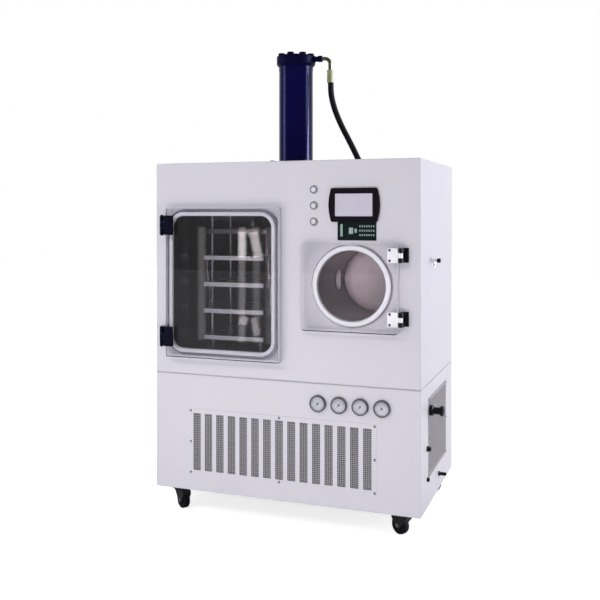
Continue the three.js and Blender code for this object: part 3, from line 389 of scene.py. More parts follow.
def settle(piece, stands_for, body):
    """A piece rides on its body and, when it stands for a CAD node, hides that node."""
    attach(piece, body)
    if stands_for:
        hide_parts(stands_for)
    return piece


def keep(name, bm, look, stands_for=None, body="cabinet", angle=SMOOTH_ANGLE):
    """Turns a bmesh into a piece."""
    mesh = clean_mesh(name, bm)
    mesh.transform(TO_METRES)
    mesh.materials.append(look)
    smooth(mesh, angle)
    return settle(new_piece(name, mesh), stands_for, body)


def bevel(piece, width, segments=2):
    modifier = piece.modifiers.new("edges", "BEVEL")
    modifier.width = width * MM
    modifier.segments = segments
    modifier.limit_method = "ANGLE"
    modifier.angle_limit = BEVEL_ANGLE


def even_shade(piece):
    """Lets large flat faces rule the shading of the small ones beside them."""
    modifier = piece.modifiers.new("shade", "WEIGHTED_NORMAL")
    modifier.keep_sharp = True
    modifier.weight = 100


def finished(node, look, width=0, segments=2, body="cabinet", smooth_angle=SMOOTH_ANGLE):
    """A CAD node's own shape with joined faces, edges softened by a width, and a finish."""
    bm = bmesh.new()
    bm.from_mesh(NODES[node].data)
    bmesh.ops.remove_doubles(bm, verts=bm.verts, dist=CAD_JOIN_WITHIN)
    bmesh.ops.dissolve_limit(bm, angle_limit=CAD_FLAT_ANGLE, verts=bm.verts, edges=bm.edges)
    mesh = mesh_of(node + "_finished", bm)
    mesh.materials.append(look)
    smooth(mesh, smooth_angle)
    piece = new_piece(mesh.name, mesh)
    if width:
        bevel(piece, width, segments)
    even_shade(piece)
    return settle(piece, node, body)


def second_look(piece, look, chosen):
    """Gives a second finish to the faces whose centre and normal the test picks."""
    mesh = piece.data
    mesh.materials.append(look)
    last = len(mesh.materials) - 1
    for face in mesh.polygons:
        if chosen(face.center / MM, face.normal):
            face.material_index = last


def faces_front(centre, normal):
    """The flange faces that lie on the cabinet's front."""
    return centre.y < FRONT + 0.2 and normal.y < -LOOKS_ALONG


def coat(node, look):
    """A CAD node that stays as it is, with a finish."""
    mesh = NODES[node].data
    mesh.materials.clear()
    mesh.materials.append(look)


TURNS = {
    "x": Matrix(((0, 0, 1, 0), (1, 0, 0, 0), (0, 1, 0, 0), (0, 0, 0, 1))),
    "y": Matrix(((1, 0, 0, 0), (0, 0, 1, 0), (0, -1, 0, 0), (0, 0, 0, 1))),
    "z": Matrix.Identity(4),
}


def turned(profile, axis="z", centre=(0, 0, 0), steps=64, bm=None):
    """Revolves (radius, place along the axis) pairs, from axis to axis or closed on themselves."""
    bm = bm or bmesh.new()
    place = Matrix.Translation(centre) @ TURNS[axis]
    loops = []
    for radius, along in profile:
        loop = []
        for i in range(steps if radius else 1):
            angle = 2 * math.pi * i / steps
            point = Vector((radius * math.cos(angle), radius * math.sin(angle), along))
            loop.append(bm.verts.new(place @ point))
        loops.append(loop)
    for a, b in zip(loops, loops[1:]):
        for i in range(steps):
            j = (i + 1) % steps
            corners = [a[i % len(a)], a[j % len(a)], b[j % len(b)], b[i % len(b)]]
            corners = list(dict.fromkeys(corners))
            if len(corners) > 2:
                bm.faces.new(corners)
    return bm


def rounded_loop(middle, width, height, radius, steps=12):
    """A rounded rectangle's points in a plane."""
    points = []
    for k, (sx, sz) in enumerate(((1, 1), (-1, 1), (-1, -1), (1, -1))):
        for i in range(steps + 1):
            angle = math.pi / 2 * (k + i / steps)
            x = middle[0] + sx * (width / 2 - radius) + radius * math.cos(angle)
            z = middle[1] + sz * (height / 2 - radius) + radius * math.sin(angle)
            points.append((x, z))
    return points


def at_depth(points, y):
    return [(x, y, z) for x, z in points]


def at_height(points, z):
    return [(x, y, z) for x, y in points]


def nested(place, section, radius, steps=12):
    """Rounded outlines of a box seen from the front, one for each (distance in, depth) pair."""
    loops = []
    for inset, y in section:
        wide, tall = place.size.x - 2 * inset, place.size.z - 2 * inset
        loops.append(at_depth(rounded_loop((place.x, place.z), wide, tall, radius - inset, steps), y))
    return loops


def lofted(loops, closed=False):
    """Joins loops of (x, y, z) points in turn, with flat ends unless it closes on itself."""
    bm = bmesh.new()
    rings = [[bm.verts.new(point) for point in loop] for loop in loops]
    pairs = list(zip(rings, rings[1:]))
    if closed:
        pairs.append((rings[-1], rings[0]))
    for a, b in pairs:
        for i in range(len(a)):
            j = (i + 1) % len(a)
            bm.faces.new((a[i], a[j], b[j], b[i]))
    if not closed:
        bm.faces.new(rings[0])
        bm.faces.new(rings[-1])
    return bm


def block(low, high):
    bm = bmesh.new()
    verts = bmesh.ops.create_cube(bm, size=1.0)["verts"]
    bmesh.ops.scale(bm, vec=[h - l for l, h in zip(low, high)], verts=verts)
    bmesh.ops.translate(bm, vec=[(l + h) / 2 for l, h in zip(low, high)], verts=verts)
    return bm


def swept(points, radius, sides):
    """A round bar with closed ends along points in one upright plane that faces the front."""
    side = Vector((0, 1, 0))
    loops = []
    for i, point in enumerate(points):
        along = (points[min(i + 1, len(points) - 1)] - points[max(i - 1, 0)]).normalized()
        out = side.cross(along)
        turns = [2 * math.pi * k / sides for k in range(sides)]
        loops.append([point + radius * (math.cos(turn) * side + math.sin(turn) * out) for turn in turns])
    return lofted(loops)


# ---- repeats

FACE_FRONT = (math.pi / 2, 0, 0)
FACE_RIGHT = (math.pi / 2, 0, math.pi / 2)
FACE_BACK = (math.pi / 2, 0, math.pi)
FACE_UP = (0, 0, 0)
FACE_DOWN = (math.pi, 0, 0)


def repeat_tree(name, sizes, lay_out):
    """A tree that sets a shape on the points that lay_out makes, then turns, places and finishes it all."""
    tree = bpy.data.node_groups.new(name, "GeometryNodeTree")
    tree.is_modifier = True
    sockets = [("Shape", SHAPE, None), *sizes, ("Turn", VECTOR, (0, 0, 0)), ("Middle", VECTOR, (0, 0, 0)),
               ("Finish", "NodeSocketMaterial", None)]
    for label, kind, value in sockets:
        socket = tree.interface.new_socket(label, in_out="INPUT", socket_type=kind)
        if value is not None:
            socket.default_value = value
    tree.interface.new_socket("Geometry", in_out="OUTPUT", socket_type=SHAPE)
    given = tree.nodes.new("NodeGroupInput").outputs
    leave = tree.nodes.new("NodeGroupOutput")
    spread = add_node(tree, "GeometryNodeInstanceOnPoints", {"Instance": given["Shape"]})
    lay_out(tree, given, spread.inputs)
    place = {"Geometry": spread.outputs[0], "Rotation": given["Turn"], "Translation": given["Middle"]}
    placed = result(tree, "GeometryNodeTransform", place)
    solid = result(tree, "GeometryNodeRealizeInstances", {0: placed})
    looks = result(tree, "GeometryNodeSetMaterial", {"Geometry": solid, "Material": given["Finish"]})
    tree.links.new(looks, leave.inputs["Geometry"])
    return tree


def grid_points(tree, given, points):
    """Rows and columns that fill a width and a height, less those within a round gap."""
    grid = result(
        tree, "GeometryNodeMeshGrid",
        {"Size X": given["Width"], "Size Y": given["Height"], "Vertices X": given["Columns"],
         "Vertices Y": given["Rows"]},
    )
    place = tree.nodes.new("GeometryNodeInputPosition").outputs[0]
    away = add_node(tree, "ShaderNodeVectorMath", {0: place, 1: given["Gap Place"]}, operation="DISTANCE")
    compared = {0: away.outputs["Value"], 1: given["Gap Radius"]}
    clear = result(tree, "FunctionNodeCompare", compared, operation="GREATER_EQUAL")
    tree.links.new(grid, points["Points"])
    tree.links.new(clear, points["Selection"])


def arc_points(tree, given, points):
    """Evenly spaced points on an arc, each turned to face outwards."""
    row = result(tree, "GeometryNodeMeshLine", {"Count": given["Count"], "Offset": (0, 0, 0)})
    number = tree.nodes.new("GeometryNodeInputIndex").outputs[0]
    angle = maths(tree, "MULTIPLY_ADD", number, given["Step"], given["First Angle"])
    across = maths(tree, "MULTIPLY", maths(tree, "COSINE", angle), given["Radius"])
    up = maths(tree, "MULTIPLY", maths(tree, "SINE", angle), given["Radius"])
    place = result(tree, "ShaderNodeCombineXYZ", {0: across, 1: up, 2: 0.0})
    moved = result(tree, "GeometryNodeSetPosition", {"Geometry": row, "Position": place})
    turn = result(tree, "ShaderNodeCombineXYZ", {0: 0.0, 1: 0.0, 2: angle})
    tree.links.new(moved, points["Points"])
    tree.links.new(turn, points["Rotation"])


GRID = repeat_tree(
    "grid_repeat",
    [("Columns", WHOLE, 2), ("Rows", WHOLE, 2), ("Width", FLOAT, 100.0), ("Height", FLOAT, 100.0),
     ("Gap Place", VECTOR, (0, 0, 0)), ("Gap Radius", FLOAT, 0.0)],
    grid_points,
)
ARC = repeat_tree(
    "arc_repeat",
    [("Count", WHOLE, 8), ("Radius", FLOAT, 100.0), ("First Angle", FLOAT, 0.0), ("Step", FLOAT, 0.5)],
    arc_points,
)


def repeated(name, tree, bm, look, stands_for=None, body="cabinet", slot=None, **sizes):
    """Runs a repeat tree over a small shape and keeps the result as one plain mesh."""
    piece = new_piece(name, clean_mesh(name, bm))
    modifier = piece.modifiers.new("repeat", "NODES")
    modifier.node_group = tree
    sizes["finish"] = look
    for socket in tree.interface.items_tree:
        key = socket.name.lower().replace(" ", "_")
        if key in sizes:
            value = sizes[key]
            modifier[socket.identifier] = float(value) if socket.socket_type == FLOAT else value
    bpy.context.view_layer.update()
    evaluated = piece.evaluated_get(bpy.context.evaluated_depsgraph_get())
    plain = bpy.data.meshes.new_from_object(evaluated)
    piece.modifiers.clear()
    piece.data = plain
    plain.name = name
    plain.transform(TO_METRES)
    smooth(plain, SMOOTH_ANGLE)
    return settle(piece, stands_for, body)


def in_rows(name, bm, look, counts, spans, turn, middle, stands_for=None, body="cabinet", slot=None, **gap):
    """A grid of (columns, rows) that spans (width, height)."""
    columns, rows = counts
    width, height = spans
    return repeated(
        name, GRID, bm, look, stands_for, body, slot, columns=columns, rows=rows, width=width, height=height,
        turn=turn, middle=middle, **gap,
    )


def screw(shape, radius, height, steps, bm=None):
    """A head from (share of the radius, share of the height) pairs. It stands on z = 0."""
    return turned([(r * radius, h * height) for r, h in shape], steps=steps, bm=bm)


def cross_screw(radius, height):
    """A domed screw head with a small recess."""
    shape = [(0, -0.3), (1, -0.3), (1, 0.35), (0.86, 0.75), (0.5, 1), (0.34, 1), (0.22, 0.35), (0, 0.3)]
    return screw(shape, radius, height, 16)


def socket_screw(radius, height):
    """A cylinder head with a round socket."""
    bm = screw([(0, -0.05), (1, -0.05), (1, 0.86), (0.9, 1), (0.56, 1)], radius, height, 24)
    return screw([(0.56, 1), (0.52, 0.9), (0.5, 0.4), (0, 0.36)], radius, height, 24, bm)


def hex_head(radius, height, shank=20):
    """A hexagon head with a washer face, a rounded top and a shank below."""
    depth = shank / height
    bm = screw([(0, -depth), (1.04, -depth), (1.04, 0.12), (0, 0.12)], radius, height, 24)
    return screw([(0, 0.1), (1, 0.1), (1, 0.88), (0.86, 1), (0, 1)], radius, height, 6, bm)


def holed_cell(pitch, hole, thickness):
    """One square of perforated sheet around an octagonal hole, centred on the origin."""
    half = pitch / 2
    reach = hole / math.cos(math.pi / 8)
    ways = ((1, 0), (1, 1), (0, 1), (-1, 1), (-1, 0), (-1, -1), (0, -1), (1, -1))
    square = [(x * half, y * half) for x, y in ways]
    inner = [(reach * math.cos(math.pi / 4 * k), reach * math.sin(math.pi / 4 * k)) for k in range(8)]
    loops = ((square, 0), (square, thickness), (inner, thickness), (inner, 0))
    return lofted([at_height(*loop) for loop in loops], closed=True)


# ---- hydraulic hose

HOSE_DIAMETER = 25 * MM
HOSE_Y = 320
HOSE_ROUTE_XZ = [
    (106, 1714.7), (106, 1700), (106.3, 1685), (107.6, 1667), (111, 1646), (116.8, 1622), (124.5, 1597),
    (134, 1572), (145, 1547), (157.2, 1521), (170.5, 1495.5), (184.5, 1469.5), (199, 1442), (213.4, 1413.6),
    (232.6, 1374.2),
]


def make_hose():
    """The hose as a round curve, from its ferrule into the boot on the roof."""
    foot = Vector((CABINET_X, FRONT, FLOOR_GAP))
    route = [(foot + Vector((x, HOSE_Y, z))) * MM for x, z in HOSE_ROUTE_XZ]
    data = bpy.data.curves.new("hydraulic_hose_run", "CURVE")
    data.dimensions = "3D"
    spline = data.splines.new("NURBS")
    spline.points.add(len(route) - 1)
    for point, place in zip(spline.points, route):
        point.co = (*place, 1)
    spline.order_u = 4
    spline.use_endpoint_u = True
    spline.resolution_u = 6
    data.bevel_depth = HOSE_DIAMETER / 2
    data.bevel_resolution = 6
    data.use_fill_caps = True
    data.materials.append(BLACK_RUBBER)
    hose = settle(new_piece("hydraulic_hose_run", data), "hydraulic_hose", "cabinet")


make_hose()


# ---- cabinet

finished("upper_cabinet", WHITE_COAT, smooth_angle=50)
housing = finished("lower_cabinet", WHITE_COAT, smooth_angle=50)
back_cover = finished("rear_panel", WHITE_COAT, 0.4, 1)
finished("front_grille", WHITE_COAT, 0.35)
coat("base_tray", DARK_COAT)


def faces_inside(centre, normal):
    """Wall faces that look into the cabinet, by how far its middle lies in front of them."""
    return (centre.x - CABINET_X) * normal.x + (centre.y - upper.y) * normal.y < -20


# Inside walls get the near-black finish: painted shade.
second_look(housing, INSIDE_SHADE, faces_inside)
second_look(back_cover, INSIDE_SHADE, lambda centre, normal: normal.y < -LOOKS_ALONG)


def fit_grille():
    """The perforated sheet behind the slots, dark strips at the slots' ends that are painted shade, and the
    cover's eight screws.
    """
    mesh, cover = Place("grille_mesh"), Place("front_grille")
    pitch, hole, sheet = 7.4, 2.6, 0.8
    slot_half_height = 117.75
    screw_margin = 18
    columns, rows = int(mesh.size.x / pitch), int(mesh.size.z / pitch)
    cell = mesh.size.x / columns
    in_rows(
        "grille_mesh_perforated", holed_cell(cell, hole, sheet), MESH_COAT, (columns, rows),
        (mesh.size.x - cell, (rows - 1) * cell), FACE_FRONT, (mesh.x, mesh.high.y, mesh.z),
        "grille_mesh",
    )
    # Dark strips at the top and bottom of the slots: painted shade for the shadow the cover throws there.
    for name, way in (("upper", 1), ("lower", -1)):
        end = cover.z + way * slot_half_height
        low, high = sorted((end - way * 2.6, end + way * 1.2))
        strip = block((mesh.low.x + 2, FRONT - 0.7, low), (mesh.high.x - 2, mesh.high.y, high))
        keep(f"grille_{name}_bond_strip", strip, RIM_GREY)
    width, height = cover.size.x - screw_margin, cover.size.z - screw_margin
    middle = (cover.x, cover.low.y, cover.z)
    for name, counts, tall in (("grille_screws", (3, 2), height), ("grille_side_screws", (2, 1), 0)):
        head = cross_screw(5.2, 2)
        in_rows(name, head, COVER_SCREW, counts, (width, tall), FACE_FRONT, middle, slot="black_steel")


def fit_side_vent():
    """A perforated field in a plain border, cut away round the vacuum port, and a catch below."""
    vent, port, gland = Place("side_vent"), Place("vacuum_port"), Place("cable_gland")
    border, pitch, hole, sheet, port_gap = 14, 9.8, 3, 1, 13
    columns, rows = int((vent.size.y - 2 * border) / pitch), int((vent.size.z - 2 * border) / pitch)
    field = Vector((0, columns * pitch, rows * pitch))
    in_rows(
        "side_vent_perforated", holed_cell(pitch, hole, sheet), GREY_COAT, (columns, rows),
        (field.y - pitch, field.z - pitch), FACE_RIGHT, (vent.low.x, vent.y, vent.z), "side_vent",
        gap_place=(port.y - vent.y, port.z - vent.z, 0), gap_radius=port_gap,
    )

    def frame_loop(size, x):
        return [(x, vent.y + sy * size.y / 2, vent.z + sz * size.z / 2)
                for sy, sz in ((-1, -1), (1, -1), (1, 1), (-1, 1))]

    loops = [frame_loop(vent.size, vent.low.x), frame_loop(vent.size, vent.high.x),
             frame_loop(field, vent.high.x), frame_loop(field, vent.low.x)]
    bevel(keep("side_vent_border", lofted(loops, closed=True), GREY_COAT, "side_vent"), 0.3)
    spans, middle = (vent.size.y - border, vent.size.z - border), (vent.high.x, vent.y, vent.z)
    head = cross_screw(4.5, 2.5)
    in_rows("side_vent_screws", head, SCREW_STEEL, (2, 3), spans, FACE_RIGHT, middle, slot="black_steel")
    knob = [(0, -1), (8.5, -1), (8.5, 5), (6.8, 9.5), (3, 10.5), (0, 10.5)]
    below_gland = (RIGHT, gland.y, gland.z - 120)
    keep("side_panel_catch", turned(knob, "x", below_gland, 32), BLACK_PLASTIC)


def fit_seam():
    """Grey foam that lies in the seam between the two housings."""
    def ring(inset, rise):
        x0, x1, y0, y1, z = LEFT + inset, RIGHT - inset, FRONT + inset, BACK - inset, SEAM + rise
        return [(x0, y0, z), (x1, y0, z), (x1, y1, z), (x0, y1, z)]

    loops = [ring(*point) for point in ((2.2, 0.3), (1.6, 1.5), (2.2, 2.7), (8.5, 2.7), (8.5, 0.3))]
    keep("seam_foam_strip", lofted(loops, closed=True), SEAM_FOAM)


def fit_rear_screws():
    """Screws round the edge of the back cover."""
    back, margin, gap = Place("rear_panel"), 24, 200
    spans = (back.size.x - margin, back.size.z - margin)
    middle = (back.x, back.high.y, back.z)
    head = cross_screw(4.5, 2.5)
    in_rows(
        "rear_panel_screws", head, BRIGHT_STEEL, (4, 6), spans, FACE_BACK, middle, slot="chrome", gap_radius=gap,
    )


def fit_louvre_hoods():
    """Hoods inside the back cover, one over each slot, hung from above it and open below. Their near-black
    finish is painted shade that keeps the slots dark.
    """
    back = Place("rear_panel")
    half_width, rows, pitch, column_gap, middle_height = 115, 7, 30, 565, 210
    section = [(8.5, 0), (7.5, 3), (4, 6.5), (-1, 8.5), (-6.5, 9), (-6.5, 8), (-1, 7.5), (3.5, 5.6), (6.5, 2.5),
               (7.2, 0)]
    ends = [(-half_width - 4, 0.12), (-half_width + 3, 0.8), (-half_width + 10, 1.0)]
    ends += [(-x, share) for x, share in reversed(ends)]
    hood = lofted([[(x, up, share * out) for up, out in section] for x, share in ends])
    in_rows(
        "rear_louvre_hoods", hood, INSIDE_SHADE, (2, rows), (column_gap, (rows - 1) * pitch), FACE_FRONT,
        (back.x, back.low.y, FLOOR_GAP + middle_height), slot="black_steel",
    )


fit_grille()
fit_side_vent()
fit_seam()
fit_rear_screws()
fit_louvre_hoods()


# ---- controls


def fit_screen():
    """The bezel, the pale display set in it, and the terminal board below with its marks and contacts."""
    screen, board = Place("touch_screen"), Place("terminal_board")
    finished("touch_screen", GLOSS_BLACK, 1.0, 3)
    wide, tall, corner, thick = 149.5, 87.5, 2, 1.2
    face = rounded_loop((screen.x, screen.z), wide, tall, corner, 4)
    floor = screen.low.y + 2.3
    panel = lofted([at_depth(face, floor), at_depth(face, floor - thick)])
    keep("display_panel", panel, SCREEN_GLASS)
    finished("terminal_board", BOARD_GREEN, 0.4)
    x0, y, z1 = board.low.x, board.low.y, board.high.z
    marks = (("tall_strip", 12, 8, 9, 48), ("relay", 46, 22, 17, 24), ("relay_cover", 69, 26, 9, 15))
    for name, left, top, wide, tall in marks:
        mark = block((x0 + left, y - 0.8, z1 - top - tall), (x0 + left + wide, y + 0.4, z1 - top))
        bevel(keep(f"board_{name}", mark, BOARD_PALE), 0.25)
    contact = block((-2.2, -3.5, -0.4), (2.2, 3.5, 1.2))
    in_rows(
        "board_terminals", contact, BOARD_PALE, (7, 3), (55, 34), FACE_FRONT, (x0 + 118, y, z1 - 33),
        slot="white_dial",
    )


def fit_button(number):
    """A push button's dished cap, and the bright ring round it."""
    button = f"push_button_{number}"
    cap = Place(button)
    x, z = cap.x, cap.z
    r, tip, back = 9.5, cap.low.y, cap.high.y
    profile = [
        (0, tip + 0.7), (0.6 * r, tip + 0.6), (0.84 * r, tip + 0.1), (0.95 * r, tip + 0.4), (r, tip + 1.4),
        (r, FRONT + 2.2), (11.8, FRONT + 2.2), (11.8, back), (0, back),
    ]
    keep(f"{button}_cap", turned(profile, "y", (x, 0, z), 48), DIAL_WHITE, button, button)
    ring = [(10.2, -1), (10.2, -3.6), (11.2, -4.4), (14.6, -4.2), (16.3, -3.2), (16.6, -0.2), (12, -0.2)]
    keep(f"button_ring_{number}", turned(ring + ring[:1], "y", (x, FRONT, z)), RING_GREY)


def fit_gauge(number):
    """A grey rim, a white bezel, a white dial with its scales, a pointer's hub and a clear lens."""
    gauge, pointer = f"gauge_{number}", f"gauge_pointer_{number}"
    case, hub = Place(gauge), Place(pointer)
    x, z = case.x, case.z
    r, front, end = case.size.x / 2, case.low.y, case.high.y
    dial, back = FRONT - 9, FRONT - 0.2
    rim = [
        (r - 4.6, dial), (r - 6.2, front + 1.2), (r - 5.4, front), (r - 1.2, front + 0.4), (r, front + 2.6),
        (r, back), (r - 3.7, back), (r - 3.7, end - 3), (r - 6, end), (0, end), (0, dial + 0.6),
        (r - 4.6, dial + 0.6),
    ]
    bezel = [
        (r - 8.8, dial + 0.4), (r - 8.8, dial - 1), (r - 8.2, dial - 1.4), (r - 6.4, dial - 1.6),
        (r - 4.8, dial - 1), (r - 4.8, dial + 0.4),
    ]
    plate = [(0, dial), (r - 9.8, dial), (r - 9.8, dial + 0.5), (0, dial + 0.5)]
    cap = [(0, hub.low.y - 0.6), (3.6, hub.low.y - 0.6), (4.4, hub.low.y), (4.4, dial - 0.2), (0, dial - 0.2)]
    lens = [(0, front + 1), (r - 5.2, front + 1.6), (r - 5.2, front + 2.6), (0, front + 2)]
    place = (x, 0, z)
    keep(f"{gauge}_case", turned(rim + rim[:1], "y", place, 72), RIM_GREY, gauge)
    keep(f"{gauge}_bezel", turned(bezel + bezel[:1], "y", place, 72), DIAL_WHITE)
    keep(f"{gauge}_dial", turned(plate, "y", place, 48), DIAL_WHITE)
    for scale, half_long, half_wide, rise, count, inset, step in (
        ("scale", 2, 0.28, 0.25, 11, 14.5, 27), ("fine_scale", 0.9, 0.18, 0.22, 51, 13.4, 5.4),
    ):
        tick = block((-half_long, -half_wide, -0.1), (half_long, half_wide, rise))
        repeated(
            f"{gauge}_{scale}", ARC, tick, DIAL_GREY, slot="black_steel", count=count, radius=r - inset,
            first_angle=math.radians(-45), step=math.radians(step), turn=FACE_FRONT, middle=(x, dial, z),
        )
    keep(f"{gauge}_hub", turned(cap, "y", place, 32), DIAL_GREY, body=pointer)
    keep(f"{gauge}_lens", turned(lens, "y", place, 48), CLEAR_LENS)
    coat(pointer, RING_GREY)


fit_screen()
for number in (1, 2, 3):
    fit_button(number)
for number in (1, 2, 3, 4):
    fit_gauge(number)


# ---- chamber, shelves and press


def crowned(seal, thick):
    """The section of a seal with a softly crowned face, as (distance in, depth) pairs."""
    face, back = seal.low.y, seal.high.y
    rise = [(0, back), (0, face + 3), (0.9, face + 0.9), (3, face)]
    return rise + [(thick - inset, y) for inset, y in reversed(rise)]


def clear_door(node, radius):
    """A thick clear plate with polished faces, small chamfers, a paler sawn edge, and a dark underside that is
    painted shade.
    """
    door = Place(node)
    face, back = door.low.y, door.high.y
    section = ((5.6, face), (1.4, face + 3.2), (0, face + 6.5), (0, back - 1.2), (1.2, back))
    plate = keep(node + "_plate", lofted(nested(door, section, radius)), CLEAR_DOOR, node, node, angle=30)
    second_look(plate, SAWN_EDGE, lambda centre, normal: abs(normal.y) < LOOKS_ALONG)
    # The underside is dark: painted shade for the shadow line under the door.
    second_look(plate, SHADED_EDGE, lambda centre, normal: normal.z < -0.5)


def fit_chamber():
    """The chamber with its seal and door, the shelves, and the press."""
    seal, seal_thick, seal_corner = Place("chamber_gasket"), 15, 63.5
    # The chamber's steel is darkened: painted shade.
    shell = finished("drying_chamber", POLISHED_IN_SHADE, smooth_angle=40)
    second_look(shell, FLANGE_STEEL, faces_front)
    loops = nested(seal, crowned(seal, seal_thick), seal_corner, 16)
    keep("chamber_gasket_moulded", lofted(loops, closed=True), SILICONE, "chamber_gasket", angle=50)
    clear_door("chamber_door", 10)
    finished("shelf_frame", SHELF_STEEL, 1)
    finished("pressing_plate", POLISHED_IN_SHADE, 1, body="press")
    for shelf in ("shelf_1", "shelf_2", "shelf_3"):
        finished(shelf, SHELF_STEEL, 1, body=shelf)
    finished("press_ram", HARD_CHROME, body="press", smooth_angle=40)


def fit_chamber_hinges():
    post = finished("chamber_hinge_post", DARK_ANODISED, 0.6)
    strip_face = FRONT - 6.5
    second_look(post, WHITE_COAT, lambda centre, normal: centre.y > strip_face and abs(normal.z) < LOOKS_ALONG)
    for hinge in ("chamber_hinge_upper", "chamber_hinge_lower"):
        leaf = Place(hinge)
        finished(hinge, DARK_ANODISED, 0.8, body="chamber_door")
        in_rows(
            f"{hinge}_screws", socket_screw(4.2, 1.2), BLACK_PLASTIC, (2, 2), (18, 52), FACE_FRONT,
            (leaf.high.x - 19, leaf.low.y + 6.2, leaf.z), body="chamber_door", slot="black_steel",
        )


fit_chamber()
fit_chamber_hinges()


# ---- cold trap


def fit_trap():
    """The trap's vessel, seal and door, and the door's two hinges."""
    seal, seal_thick = Place("trap_gasket"), 19
    shell = finished("cold_trap", TRAP_LIT_STEEL, smooth_angle=40)
    second_look(shell, PALE_FLANGE, faces_front)
    # The walls take the dark copy of the steel, which is painted shade down the deep vessel. The bottom keeps
    # the pale copy, which is painted light.
    second_look(shell, TRAP_SHADED_WALL, lambda centre, normal: centre.y > FRONT + 1 and abs(normal.y) < 0.5)
    profile = [(seal.size.x / 2 - inset, y) for inset, y in crowned(seal, seal_thick)]
    ring = turned(profile + profile[:1], "y", (seal.x, 0, seal.z), 96)
    keep("trap_gasket_moulded", ring, SILICONE, "trap_gasket", angle=50)
    clear_door("trap_door", 18)
    for place in ("upper", "lower"):
        leaf = Place(f"trap_hinge_leaf_{place}")
        finished(f"trap_hinge_leaf_{place}", BRIGHT_LEAF, 0.5, body="trap_door")
        finished(f"trap_hinge_post_{place}", BLACK_PLASTIC, 0.8)
        in_rows(
            f"trap_leaf_{place}_screws", cross_screw(5.2, 2.2), SCREW_STEEL, (1, 2), (0, 40), FACE_FRONT,
            (leaf.low.x + 9, leaf.low.y + 6, leaf.z), body="trap_door", slot="black_steel",
        )


fit_trap()


# ---- ram

BARREL_RADIUS, BARREL_WALL = 75, 14.7
HEAD_RADIUS = 84
ROD_BORE = 25.7


def fit_barrel():
    """The ram's tube with its weld, the foot plate and its bolts, and the rod's guide under the roof."""
    barrel = Place("ram_barrel")
    x, y, low, top = barrel.x, barrel.y, barrel.low.z, barrel.high.z
    wide, deep = barrel.size.x, barrel.size.y
    foot = ROOF + 12
    r, bore = BARREL_RADIUS, BARREL_RADIUS - BARREL_WALL
    tube = [
        (bore, foot + 4.5), (bore, top), (r - 1.2, top), (r, top - 1.2), (r, top - 16), (r - 1.2, top - 17.5),
        (r - 1.2, foot + 8.5), (r + 3, foot + 4.5), (r + 5.5, foot + 0.4), (bore, foot + 0.4),
    ]
    keep("ram_barrel_tube", turned(tube + tube[:1], centre=(x, y, 0), steps=96), NAVY_COAT, "ram_barrel")
    outline = rounded_loop((x, y), wide, deep, 14, 24)
    slim = rounded_loop((x, y), wide - 3, deep - 3, 12.5, 24)
    ways = [Vector((px - x, py - y)).normalized() * ROD_BORE for px, py in outline]
    hole = [(x + way.x, y + way.y) for way in ways]
    loops = ((outline, ROOF), (outline, foot - 1.5), (slim, foot), (hole, foot), (hole, ROOF))
    plate = lofted([at_height(*loop) for loop in loops], closed=True)
    keep("ram_foot_plate", plate, NAVY_COAT, "ram_barrel")
    guide = [(ROD_BORE, ROOF), (ROD_BORE, low), (40.5, low), (42, low + 1.5), (42, ROOF)]
    keep("ram_rod_guide", turned(guide + guide[:1], centre=(x, y, 0), steps=48), HARD_CHROME, "ram_barrel")
    head, spans = socket_screw(9.8, 6.8), (wide - 40, deep - 40)
    in_rows("ram_foot_bolts", head, SCREW_STEEL, (2, 2), spans, FACE_UP, (x, y, foot), "ram_barrel")


def fit_head():
    """The ram's head with its bolts, and the boss that the hose's union screws into."""
    barrel, head = Place("ram_barrel"), Place("ram_head")
    x, y, low, top = barrel.x, barrel.y, head.low.z, barrel.high.z
    r, lid = HEAD_RADIUS, top + 46
    plug = BARREL_RADIUS - BARREL_WALL - 0.9
    cap = [
        (0, low), (plug, low), (plug, top + 0.3), (r - 8, top + 0.3), (r - 1.2, top + 9.5), (r, top + 12),
        (r, lid - 3.5), (r - 1, lid - 1), (r - 3.5, lid), (30, lid), (28.5, lid - 1.5), (0, lid - 1.5),
    ]
    keep("ram_head_cap", turned(cap, centre=(x, y, 0), steps=96), HEAD_COAT, "ram_head")
    boss = [(0, r - 6), (15, r - 6), (15, r + 3.5), (13.8, r + 5), (0, r + 5)]
    keep("ram_head_boss", turned(boss, "x", (x, y, top + 30), 48), HEAD_COAT, "ram_head")
    bolt = socket_screw(14.8, head.high.z - lid)
    repeated(
        "ram_head_bolts", ARC, bolt, HEAD_COAT, "ram_head", count=8, radius=r - 16, first_angle=0,
        step=math.pi / 4, turn=FACE_UP, middle=(x, y, lid),
    )


